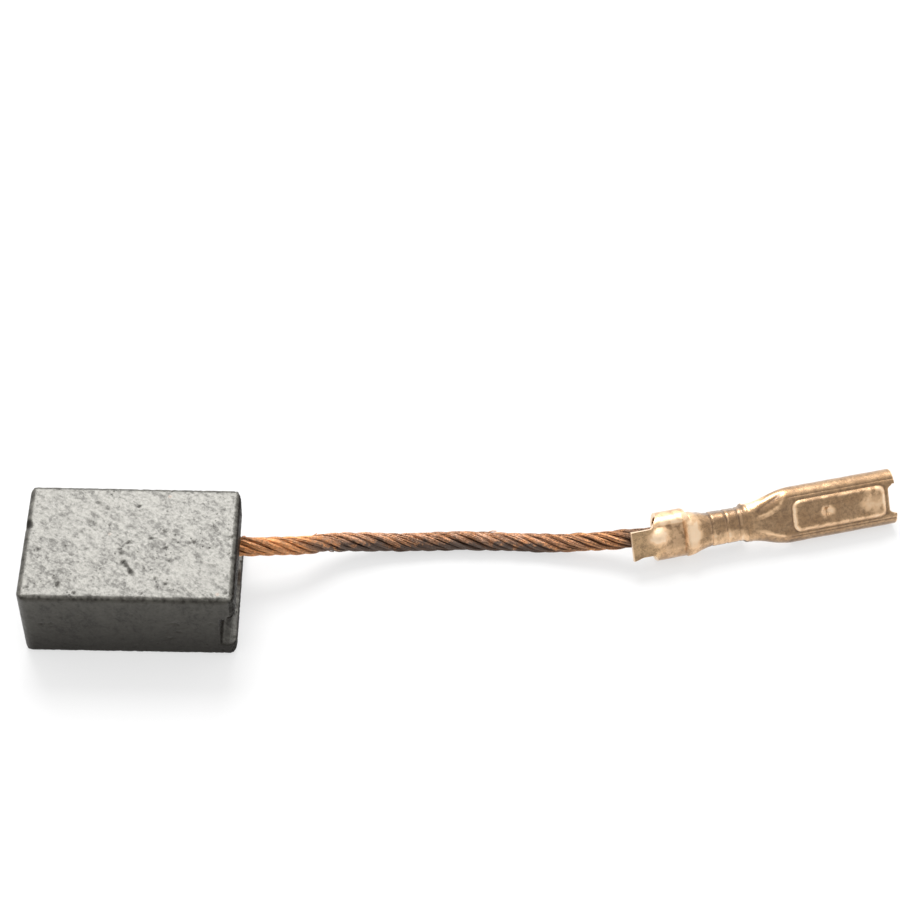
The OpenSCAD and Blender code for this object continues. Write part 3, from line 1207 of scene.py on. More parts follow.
@dataclass(frozen=True)
class SheetZones:
    """Where each point of the sheet lies against the marks that the tools left.

    along is the distance from the carrier tab's end, walked the distance from the middle along
    the sheet, and far is 1 on the upper side of the terminal as it lies, 0 on the lower side.
    ring_shares are the crimping rings' places along the crimp, panel_edge is half the width of
    the panel's slope, and groove_gap how far outside the flat back a roll's groove lies.
    """

    sizes: TerminalSizes
    along: np.ndarray
    walked: np.ndarray
    far: np.ndarray
    ring_shares: tuple[float, float, float] = (0.34, 0.61, 0.84)
    panel_edge: float = 0.12
    groove_gap: float = 0.3

    @property
    def near(self) -> np.ndarray:
        """1 on the lower side of the terminal as it lies, 0 on the upper side."""
        return 1 - self.far

    @property
    def across(self) -> np.ndarray:
        """The distance from the middle, less than 0 on the lower side."""
        return self.walked * (2 * self.far - 1)

    @property
    def beside_back(self) -> np.ndarray:
        """How far outside the receptacle's flat back each point lies."""
        return self.walked - self.sizes.box_flat

    @property
    def from_roll_groove(self) -> np.ndarray:
        """How far outside the groove beside the roll each point lies."""
        return self.beside_back - self.groove_gap

    @property
    def inside_foot(self) -> np.ndarray:
        """How far each point lies inside the foot of the stiffening panel's edge."""
        return self.inside_panel() + self.panel_edge

    @property
    def inside_rim(self) -> np.ndarray:
        """How far each point lies inside the rim of the stiffening panel's edge."""
        return self.inside_panel() - self.panel_edge

    @property
    def past_dimple(self) -> np.ndarray:
        """How far past the dimple's middle each point lies, along the terminal."""
        return self.along - self.sizes.box_start - self.sizes.dimple_offset

    @property
    def from_dimple(self) -> np.ndarray:
        """How far from the dimple's middle each point lies."""
        return np.hypot(self.past_dimple, self.walked)

    def rise(self, start: float, end: float) -> np.ndarray:
        """Returns a value that rises from 0 to 1 between two distances along the terminal."""
        return smoothstep(start, end, self.along)

    def spread(self, start: float, end: float) -> np.ndarray:
        """Returns a value that rises from 0 to 1 between two distances from the middle."""
        return smoothstep(start, end, self.walked)

    def ring_distances(self) -> list[np.ndarray]:
        """Measures the points against each ring of the crimping tool.

        Returns:
            How far past each ring the points lie.
        """
        s = self.sizes
        return [self.along - (s.crimp_start + share * s.crimp_length)
                for share in self.ring_shares]

    def inside_panel(self) -> np.ndarray:
        """Measures the points against the stiffening panel's outline.

        Returns:
            How far inside it each point lies.
        """
        s = self.sizes
        middle = s.box_start + s.emboss_offset + s.emboss_length / 2
        over = abs(self.along - middle) - s.emboss_length / 2 + s.emboss_radius
        beside = self.walked - s.emboss_width / 2 + s.emboss_radius
        corner = np.hypot(np.maximum(over, 0), np.maximum(beside, 0))
        return s.emboss_radius - corner - np.minimum(np.maximum(over, beside), 0)

    def neck_fold(self) -> NeckFold:
        """Draws the fold down the neck, from the crimp to the receptacle.

        Returns:
            The fold, as each point lies against it.
        """
        s = self.sizes
        t = np.clip((self.along - s.crimp_end - 0.2) / (s.neck_length - 0.5), 0, 1)
        fold = np.where(self.far > 0, 0.40 + 1.05 * t**3.2, 0.42 + 0.9 * t**1.15)
        hollow = np.where(self.far > 0, 0.56 + 1.25 * t, fold + HOLLOW_GAP)
        strength = np.clip(np.minimum(3.2 * t, 5 * (1 - t)), 0, 1)
        return NeckFold(self.walked - fold, hollow - fold, strength)


@dataclass(frozen=True)
class SheetRelief:
    """How far the tools pushed the sheet out of its back, in millimetres."""

    tool_edge: float = 0.07
    panel_ramp: float = 0.24
    panel_front_ramp: float = 0.12
    panel_foot: float = 0.03
    roll_groove: float = 0.035
    dimple_share: float = 0.8
    ring_depth: float = 0.05
    ring_lip: float = 0.014
    crimp_squeeze: float = 0.05
    bell_lip: float = 0.045
    neck_start: float = 0.03
    barrel_step: float = 0.30
    barrel_saddle: float = 0.07
    barrel_bump: float = 0.32
    wing_flare: float = 0.21
    hollow_depth: float = 0.07
    ridge_height: float = 0.042

    def on_receptacle(self, zones: SheetZones) -> np.ndarray:
        """Presses the receptacle's panel, its dimple and the grooves beside its rolls.

        Args:
            zones: Where the sheet's points lie.

        Returns:
            The relief at each point.
        """
        s = zones.sizes
        in_box = zones.rise(s.box_start - 0.4, s.box_start)
        ramp = self.panel_ramp + self.panel_front_ramp * zones.rise(
            s.box_start + 0.7, s.box_start + 0.3)
        push = s.emboss_height * smoothstep(0, 1, (zones.inside_panel() + 0.04) / ramp)
        push = push - self.panel_foot * in_box * line(zones.inside_foot, self.tool_edge)
        push = push - self.roll_groove * in_box * line(zones.from_roll_groove, self.tool_edge)
        dimple = smoothstep(s.dimple_diameter / 2 + 0.05, 0.12, zones.from_dimple)
        return push - self.dimple_share * s.dimple_depth * dimple

    def on_crimp(self, zones: SheetZones) -> np.ndarray:
        """Presses the wire crimp's rings, its squeezed middle and the lips behind it.

        Args:
            zones: Where the sheet's points lie.

        Returns:
            The relief at each point.
        """
        s = zones.sizes
        push = 0 * zones.along
        for past in zones.ring_distances():
            push = push - self.ring_depth * line(past, self.tool_edge)
            push = push + self.ring_lip * line(past - 0.17, 0.09)
        crimped = zones.rise(s.crimp_start + 0.6, s.crimp_start + 1.3)
        push = push - self.crimp_squeeze * crimped * zones.rise(s.crimp_end, s.crimp_end - 0.4)
        push = push + self.bell_lip * line(zones.along - s.crimp_end + 0.05, self.tool_edge)
        return push + self.neck_start * line(zones.along - s.crimp_end - 0.22, 0.09)

    def on_barrel(self, zones: SheetZones) -> np.ndarray:
        """Presses the insulation barrel's bump and step, and flares its far wing.

        Args:
            zones: Where the sheet's points lie.

        Returns:
            The relief at each point.
        """
        s = zones.sizes
        lip = s.barrel_end - 0.08
        fall = np.clip((zones.along - lip - 0.08) / 1.2, 0, 1)
        step = self.barrel_step * zones.rise(lip - 0.05, lip + 0.08) * (1 - fall) ** 1.3
        push = step * zones.spread(1.7, 1.0)
        saddle = line(zones.along - lip + 0.55, 0.42) * line(zones.walked, 0.8)
        push = push - self.barrel_saddle * saddle
        from_bump = np.hypot(zones.along - s.barrel_start - 0.08, zones.across - 0.22)
        push = push + self.barrel_bump * line(from_bump, 0.5)
        wing = zones.rise(s.barrel_start - 0.22, s.barrel_start) * zones.rise(
            s.barrel_end + 0.14, s.barrel_end)
        return push + zones.far * wing * self.wing_flare * zones.spread(0.82, 1.25)

    def on_neck(self, zones: SheetZones) -> np.ndarray:
        """Presses the ridge of the neck's fold and the hollow beside it.

        Args:
            zones: Where the sheet's points lie.

        Returns:
            The relief at each point.
        """
        fold = zones.neck_fold()
        hollow = fold.hollow(fold.widened(0.2), 0.2)
        hollow = hollow * self.hollow_depth * (0.35 + 0.65 * zones.far)
        ridge = line(fold.outside + 0.02, 0.1) * self.ridge_height
        return fold.strength * (ridge - hollow)

    def build(self, zones: SheetZones) -> np.ndarray:
        """Returns the whole relief at each point."""
        marks = (self.on_receptacle, self.on_crimp, self.on_barrel, self.on_neck)
        return sum(mark(zones) for mark in marks)


@dataclass(frozen=True)
class SheetTarnishAndShade:
    """How dark the sheet is, from 0 to 1: tarnish, and painted shade in its creases, grooves, rings
    and neck hollow and on its lower side.
    """

    panel_foot: float = 0.85
    panel_rim: float = 0.35
    panel_far_rim: float = 0.4
    panel_middle: float = 0.25
    roll_groove: float = 0.75
    roll_foot: float = 0.35
    roll: float = 0.3
    far_roll: float = -0.12
    ring: float = 0.8
    barrel_smudge: float = 0.55
    wing_foot: float = 0.75
    wing: float = 0.2
    crimp: float = 0.2
    crimp_far_side: float = 0.5
    ragged_edge: float = 1.0
    neck_hollow: float = 1.5
    neck_flat: float = 0.4
    neck_near_side: float = 0.5
    tab_edge: float = 0.4

    def on_receptacle(self, zones: SheetZones) -> np.ndarray:
        """Darkens the receptacle round its panel and along its rolls, with painted shade at the
        panel's foot and rim, in the rolls' grooves and on the lower roll.

        Args:
            zones: Where the sheet's points lie.

        Returns:
            The tarnish and painted shade at each point.
        """
        s = zones.sizes
        in_box = zones.rise(s.box_start - 0.6, s.box_start - 0.1)
        stain_and_shade = self.panel_foot * in_box * line(zones.inside_foot, 0.08)
        long_side = zones.rise(s.box_start + 0.4, s.box_start + 0.8) * (zones.walked > 0.5)
        rim = self.panel_rim + self.panel_far_rim * zones.far
        stain_and_shade = stain_and_shade + rim * long_side * line(zones.inside_rim, 0.13)
        middle = smoothstep(0.25, 0.45, zones.inside_panel())
        middle = middle * zones.rise(s.box_end - 1.5, s.box_end - 2.6)
        stain_and_shade = stain_and_shade + self.panel_middle * middle
        roll = (self.roll + self.far_roll * zones.far) * smoothstep(0.25, 0.5, zones.beside_back)
        return stain_and_shade + in_box * (self.roll_groove * line(zones.from_roll_groove, 0.08)
                                 + self.roll_foot * line(zones.beside_back - 0.62, 0.16) + roll)

    def on_barrel(self, zones: SheetZones) -> np.ndarray:
        """Darkens the insulation barrel and its far wing, with painted shade below the wing's flare
        and across the barrel's lower side.

        Args:
            zones: Where the sheet's points lie.

        Returns:
            The tarnish and painted shade at each point.
        """
        s = zones.sizes
        smudge = line(zones.along - s.barrel_end + 0.75, 0.5) * line(zones.walked - 0.12, 0.22)
        in_barrel = zones.rise(s.barrel_start - 0.1, s.barrel_start + 0.1)
        in_barrel = in_barrel * (zones.along < s.barrel_end)
        wing = self.wing_foot * line(zones.walked - 0.84, 0.17) + self.wing * (zones.walked > 1.05)
        return self.barrel_smudge * zones.near * smudge + zones.far * in_barrel * wing

    def on_crimp(self, zones: SheetZones) -> np.ndarray:
        """Darkens the wire crimp, with painted shade in its rings and along its ragged lower edge.

        Args:
            zones: Where the sheet's points lie.

        Returns:
            The tarnish and painted shade at each point.
        """
        s = zones.sizes
        rings = sum(self.ring * line(past, 0.07) for past in zones.ring_distances())
        crimped = zones.rise(s.crimp_start + 0.7, s.crimp_start + 1.2)
        crimped = crimped * (zones.along < s.crimp_end)
        edge = smoothstep(0.97, 1.12, zones.walked + self.raggedness(zones.along))
        return rings + crimped * (self.crimp
                                  + self.crimp_far_side * zones.far * zones.spread(0.35, 0.8)
                                  + self.ragged_edge * zones.near * edge)

    def raggedness(self, along: np.ndarray) -> np.ndarray:
        """Returns how far the crimp's lower edge strays, at distances along the terminal."""
        return 0.05 * np.sin(9 * along) + 0.04 * np.sin(23 * along + 1) + 0.03 * np.sin(41 * along)

    def on_neck(self, zones: SheetZones) -> np.ndarray:
        """Darkens the neck, with painted shade in its hollow and on its flat and its near side.

        Args:
            zones: Where the sheet's points lie.

        Returns:
            The tarnish and painted shade at each point.
        """
        s = zones.sizes
        fold = zones.neck_fold()
        hollow = fold.strength * zones.far * fold.hollow(0.45 * fold.beyond, 0.13)
        on_neck = zones.rise(s.crimp_end + 0.4, s.crimp_end + 1.2)
        on_neck = on_neck * (zones.along < s.box_start + 0.3)
        near_side = zones.near * smoothstep(0.1, 0.4, fold.outside)
        return self.neck_hollow * hollow + on_neck * (
            self.neck_flat * smoothstep(0.05, -0.15, fold.outside)
            + self.neck_near_side * near_side)

    def on_tab(self, zones: SheetZones) -> np.ndarray:
        """Returns the tarnish along the carrier tab's edges."""
        return self.tab_edge * zones.spread(0.5, 0.9) * zones.rise(zones.sizes.tab_length, 0.4)

    def build(self, zones: SheetZones) -> np.ndarray:
        """Returns the whole tarnish and painted shade at each point."""
        marks = (self.on_receptacle, self.on_barrel, self.on_crimp, self.on_neck, self.on_tab)
        return np.clip(sum(mark(zones) for mark in marks), 0, 1)


@dataclass(frozen=True)
class SheetRubAndHighlight:
    """How bright the sheet is, from 0 to 1: rubbed wear, and painted highlights on its rims, bumps,
    ridges and shoulder.
    """

    panel_rim: float = 0.25
    panel_near_rim: float = 0.35
    panel_end_rim: float = 0.7
    panel_patch: float = 0.62
    dimple: float = 1.1
    bump: float = 1.2
    step: float = 0.45
    step_middle: float = 0.65
    barrel: float = 0.27
    ring_lip: float = 0.3
    crimp_near_side: float = 0.5
    neck_ridge: float = 0.55
    shoulder: float = 0.72
    shoulder_loss: float = 0.6
    wing: float = 0.5

    def on_receptacle(self, zones: SheetZones) -> np.ndarray:
        """Paints highlights on the panel's rim, a patch of the panel and the ends of the dimple.

        Args:
            zones: Where the sheet's points lie.

        Returns:
            The rubbed wear and painted highlight at each point.
        """
        s = zones.sizes
        in_box = zones.rise(s.box_start - 0.3, s.box_start)
        front = zones.rise(s.box_start + 0.75, s.box_start + 0.35)
        end = self.panel_end_rim * zones.rise(s.box_end - 1.7, s.box_end - 1.2)
        sides = self.panel_rim + self.panel_near_rim * zones.near
        share = np.maximum(np.maximum(front, end), sides)
        rub_and_highlight = share * in_box * line(zones.inside_rim, 0.12)
        patch = np.hypot((zones.along - s.box_end + 1.75) / 1.0, (zones.across - 0.05) / 0.8)
        rub_and_highlight = rub_and_highlight + self.panel_patch * smoothstep(1.45, 0.3, patch)
        ends = abs(zones.past_dimple) / (zones.from_dimple + 0.01)
        return rub_and_highlight + self.dimple * ends * line(zones.from_dimple - 0.3, 0.23)

    def on_barrel(self, zones: SheetZones) -> np.ndarray:
        """Rubs the insulation barrel, with painted highlights most of all on its bump and its step,
        and on its far wing.

        Args:
            zones: Where the sheet's points lie.

        Returns:
            The rubbed wear and painted highlight at each point.
        """
        s = zones.sizes
        from_bump = np.hypot(zones.along - s.barrel_start + 0.05, zones.across - 0.35)
        lip = s.barrel_end - 0.05
        behind = zones.rise(lip, lip + 0.08) * zones.rise(lip + 1.3, lip + 0.55)
        middle = line(zones.across - 0.2, 0.65)
        in_barrel = zones.rise(s.barrel_start, s.barrel_start + 0.5) * (zones.along < s.barrel_end)
        wing = (zones.along >= s.barrel_start - 0.01) & (zones.along <= s.barrel_end + 0.01)
        return (self.bump * line(from_bump, 0.58)
                + behind * (self.step + self.step_middle * middle)
                + self.barrel * in_barrel * (zones.walked < 1.5)
                + self.wing * zones.far * (wing & (zones.walked > 1.05)))

    def on_crimp(self, zones: SheetZones) -> np.ndarray:
        """Rubs the wire crimp's near side and paints highlights on the lips of its rings.

        Args:
            zones: Where the sheet's points lie.

        Returns:
            The rubbed wear and painted highlight at each point.
        """
        s = zones.sizes
        lips = sum(self.ring_lip * line(past - 0.16, 0.06) for past in zones.ring_distances())
        crimped = zones.rise(s.crimp_start + 0.9, s.crimp_start + 1.4)
        crimped = crimped * (zones.along < s.crimp_end) * zones.near
        return lips + self.crimp_near_side * crimped * zones.spread(0.0, 0.4) * (
            zones.walked < 1.1)

    def on_neck(self, zones: SheetZones) -> np.ndarray:
        """Paints highlights on the ridge of the neck's fold and on its far shoulder.

        Args:
            zones: Where the sheet's points lie.

        Returns:
            The rubbed wear and painted highlight at each point.
        """
        s = zones.sizes
        fold = zones.neck_fold()
        rub_and_highlight = self.neck_ridge * fold.strength * fold.ridge(0.08, 0.1)
        on_shoulder = zones.far * zones.rise(s.crimp_end - 0.1, s.crimp_end + 0.2)
        crest = np.where(zones.along < s.box_start, fold.outside - fold.beyond - 0.12,
                         zones.walked - 1.66)
        share = self.shoulder - self.shoulder_loss * zones.rise(
            s.crimp_end + 1.0, s.crimp_end + 1.8)
        return rub_and_highlight + share * on_shoulder * smoothstep(0, 0.45, crest)

    def build(self, zones: SheetZones) -> np.ndarray:
        """Returns the whole rubbed wear and painted highlight at each point."""
        marks = (self.on_receptacle, self.on_barrel, self.on_crimp, self.on_neck)
        return np.clip(sum(mark(zones) for mark in marks), 0, 1)


@dataclass
class FoldedTerminal:
    """A receptacle terminal, folded from one brass strip round the lead."""

    sizes: TerminalSizes
    lie: TerminalLie
    relief: SheetRelief = SheetRelief()
    tarnish_and_shade: SheetTarnishAndShade = SheetTarnishAndShade()
    rub_and_highlight: SheetRubAndHighlight = SheetRubAndHighlight()
    cells: tuple[int, int, int, int] = (22, 24, 8, 18)
    step: float = 0.08
    dent_depth: float = 0.018
    dent_scale: float = 1.3
    wing_curl: float = 52.0
    lobe_turn: float = 172.0
    corner_fillet: float = 0.32
    tab_flick: float = 0.16
    tab_easing: float = 2.4
    wing_setback: float = 0.26
    lip_cells: int = 10
    edge_radius: float = 0.04
    edge_angle: float = 50.0
    smooth_angle: float = 40.0

    def crimp_section(self, flare: float) -> Section:
        """Draws half of the wire crimp's section, from the middle out.

        Args:
            flare: How much wider it is than at its middle.

        Returns:
            Its stretches of length and turn.
        """
        s = self.sizes
        lobe = (s.crimp_width / 2 - s.sheet - s.seam_gap / 2) / 2
        wall = s.crimp_depth - s.sheet - s.crimp_corner - lobe
        back = s.crimp_width / 2 - s.sheet / 2 - s.crimp_corner + flare / 2
        return ((back, 0), arc(s.crimp_corner + flare / 2, 90), (wall, 0),
                arc(lobe + flare / 4, self.lobe_turn))

    def sections(self) -> dict[str, np.ndarray]:
        """Draws half of each section, from the middle out.

        Returns:
            The sections by name, each as stretches of length and turn.
        """
        s = self.sizes
        quarter = arc(s.barrel_radius, 45)[0]
        shapes = {
            "tab": ((s.tab_width / 4, 0), (s.tab_width / 4, 0), (1, 0), (1, 0)),
            "barrel": (
                (s.barrel_flat, 0), arc(s.barrel_radius, 90), arc(s.barrel_radius, 45),
                (quarter + s.barrel_flat - s.sheet / 2, self.wing_curl),
            ),
            "mouth": self.crimp_section(s.mouth_flare),
            "throat": self.crimp_section(s.mouth_flare * 0.4),
            "crimp": self.crimp_section(0),
            "bell": self.crimp_section(s.bell_flare),
            "box": (
                (s.box_flat, 0), arc(s.roll_radius, 90), arc(s.roll_radius, 45),
                arc(s.roll_radius, s.roll_turn - 135),
            ),
        }
        return {name: np.array(shape, float) for name, shape in shapes.items()}

    def stations(self) -> list[tuple[float, np.ndarray, bool]]:
        """Blends the sections along the terminal.

        Returns:
            For each: its distance, its section, and whether the stretch after it has wings.
        """
        s = self.sizes
        shapes = self.sections()
        marks = [
            (0.0, "tab", False), (s.tab_length - 0.5, "tab", False),
            (s.barrel_start, "barrel", True), (s.barrel_end, "barrel", False),
            (s.crimp_start, "mouth", True), (s.crimp_start + s.mouth_length / 2, "throat", True),
            (s.crimp_start + s.mouth_length, "crimp", True),
            (s.crimp_end - s.bell_length, "crimp", True), (s.crimp_end, "bell", False),
            (s.box_start, "box", True), (s.box_end - s.panel_setback, "box", True),
            (s.box_end, "box", False),
        ]
        found = []
        for (start, first, wings), (end, second, _) in zip(marks, marks[1:]):
            count = max(3, round((end - start) / self.step))
            for k in range(count):
                t = k / count
                eased = t**self.tab_easing if first == "tab" else float(smoothstep(0, 1, t))
                blended = shapes[first] + (shapes[second] - shapes[first]) * eased
                found.append((start + (end - start) * t, blended, wings))
        found.append((s.box_end, shapes["box"], False))
        return found

    def walk(self, section: np.ndarray) -> np.ndarray:
        """Walks along half a section, from the middle out.

        Args:
            section: The stretches of length and turn.

        Returns:
            One row for each point: sideways, height, heading and length walked.
        """
        lengths = np.repeat(section[:, 0] / self.cells, self.cells)
        turns = np.radians(np.repeat(section[:, 1] / self.cells, self.cells))
        heading = np.concatenate([[0], np.cumsum(turns)])
        middle = heading[:-1] + turns / 2
        chord = lengths * np.sinc(turns / (2 * math.pi))
        sideways = np.concatenate([[0], np.cumsum(chord * np.cos(middle))])
        height = np.concatenate([[0], np.cumsum(-chord * np.sin(middle))])
        walked = np.concatenate([[0], np.cumsum(lengths)])
        return np.stack([sideways, height, heading, walked], 1)

    def filleted(self, along: np.ndarray, walked: np.ndarray) -> np.ndarray:
        """Fillets the panel's front corners.

        Args:
            along: Distance from the carrier tab's end.
            walked: Distance from the middle, along the sheet.

        Returns:
            Each point's new distance from the carrier tab's end.
        """
        s = self.sizes
        edge = s.box_end - s.panel_setback
        behind = edge - 0.8
        shift = self.corner_fillet * line(walked - s.box_flat, 0.16)
        stretched = behind + (along - behind) * (edge + shift - behind) / (edge - behind)
        squeezed = edge + shift + (along - edge) * (s.panel_setback - shift) / s.panel_setback
        return np.where(along < behind, along, np.where(along <= edge, stretched, squeezed))

    def bend_loose_ends(self, points: np.ndarray, zones: SheetZones) -> None:
        """Sets the far wing's front edge back and bends the carrier tab's near corner.

        Args:
            points: The sheet's points, which are moved.
            zones: Where they lie.
        """
        s = self.sizes
        cut_back = zones.rise(s.barrel_start - 0.3, s.barrel_start) * np.clip(
            (s.barrel_end - zones.along) / s.barrel_length, 0, 1)
        points[:, :, 0] += self.wing_setback * zones.far * cut_back * zones.spread(0.95, 1.4)
        flick = self.tab_flick * zones.rise(0.75, 0) * zones.near
        points[:, :, 1] -= flick * zones.spread(0.4, 0.95)

    def present_cells(self, stations: list[tuple[float, np.ndarray, bool]]) -> np.ndarray:
        """Finds which cells the sheet has: no wings beside the tab, the window and the neck.

        Args:
            stations: The sections along the terminal.

        Returns:
            One row for each stretch, with one entry for each cell across the sheet.
        """
        half_cells = sum(self.cells)
        cell = abs(np.arange(2 * half_cells) - half_cells + 0.5)
        last = self.sizes.box_end - self.sizes.panel_setback
        present = np.zeros((len(stations) - 1, 2 * half_cells), bool)
        for k, (distance, _, wings) in enumerate(stations[:-1]):
            present[k] = wings | (cell < self.cells[0] + self.cells[1])
            if distance > last - 1e-6:
                present[k] &= (cell > self.cells[0]) & (cell < half_cells - self.lip_cells)
        return present

    def grid(self) -> tuple[np.ndarray, dict[str, np.ndarray], np.ndarray]:
        """Works out the sheet's middle layer.

        Returns:
            Its points, its tones by name, and which cells it has.
        """
        stations = self.stations()
        half_cells = sum(self.cells)
        columns = np.arange(-half_cells, half_cells + 1)
        halves = np.array([self.walk(section)[abs(columns)] for _, section, _ in stations])
        sideways, height, heading, walked = np.moveaxis(halves, 2, 0)
        along = np.repeat(np.array([[station[0]] for station in stations]), len(columns), 1)
        side = np.sign(columns)[None, :]
        far = np.broadcast_to(side > 0, along.shape).astype(float)
        zones = SheetZones(self.sizes, along, walked, far)
        normals = np.stack([0 * along, side * np.sin(heading), np.cos(heading)], 2)
        points = np.stack([self.filleted(along, walked), side * sideways, height], 2)
        self.bend_loose_ends(points, zones)
        dents = noise_at(points.reshape(-1, 3), self.dent_scale).reshape(along.shape)
        push = self.relief.build(zones) + self.dent_depth * dents
        points = points + normals * push[:, :, None]
        present = self.present_cells(stations)
        tab_end = self.sizes.tab_length
        tones = {
            # Tarnish and painted shade.
            "stain_and_shade": self.tarnish_and_shade.build(zones),
            # Rubbed wear and painted highlights; the next is a painted highlight along the cut
            # edges.
            "rub_and_highlight": self.rub_and_highlight.build(zones),
            "edge": self.rim(present),
            "bare": zones.rise(tab_end + 0.5, tab_end - 0.4),
        }
        return points, tones, present

    def rim(self, present: np.ndarray) -> np.ndarray:
        """Finds the sheet's cut edges.

        Args:
            present: Which cells the sheet has.

        Returns:
            1 at the points along the cut edges, and 0 elsewhere.
        """
        framed = np.pad(present, 1).astype(int)
        around = framed[1:, 1:] + framed[:-1, 1:] + framed[1:, :-1] + framed[:-1, :-1]
        return ((around > 0) & (around < 4)).astype(float)

    def build(self) -> bpy.types.Object:
        """Folds the sheet, thickens it and eases its edges.

        Returns:
            The terminal, in metres.
        """
        points, tones, present = self.grid()
        number = np.arange(points.shape[0] * points.shape[1]).reshape(points.shape[:2])
        k, c = np.nonzero(present)
        corners = np.stack(
            [number[k, c], number[k + 1, c], number[k + 1, c + 1], number[k, c + 1]], 1)
        used, inverse = np.unique(corners, return_inverse=True)
        mesh = bpy.data.meshes.new("terminal_sheet")
        mesh.from_pydata(
            points.reshape(-1, 3)[used].tolist(), [], inverse.reshape(-1, 4).tolist())
        for name, values in tones.items():
            point_values(mesh, name, values.ravel()[used])
        sheet = new_object("terminal_sheet", mesh)
        thick = sheet.modifiers.new("thickness", "SOLIDIFY")
        thick.thickness = self.sizes.sheet
        thick.offset = 0
        eased = sheet.modifiers.new("eased_edges", "BEVEL")
        eased.width = self.edge_radius
        eased.segments = 2
        eased.limit_method = "ANGLE"
        eased.angle_limit = math.radians(self.edge_angle)
        solid = evaluated_mesh(sheet)
        drop_object(sheet)
        solid.transform(Matrix.Scale(MM, 4) @ self.lie.matrix())
        solid.shade_smooth()
        solid.set_sharp_from_angle(angle=math.radians(self.smooth_angle))
        return new_object("receptacle_terminal", solid)


# --- Block --------------------------------------------------------------------------------


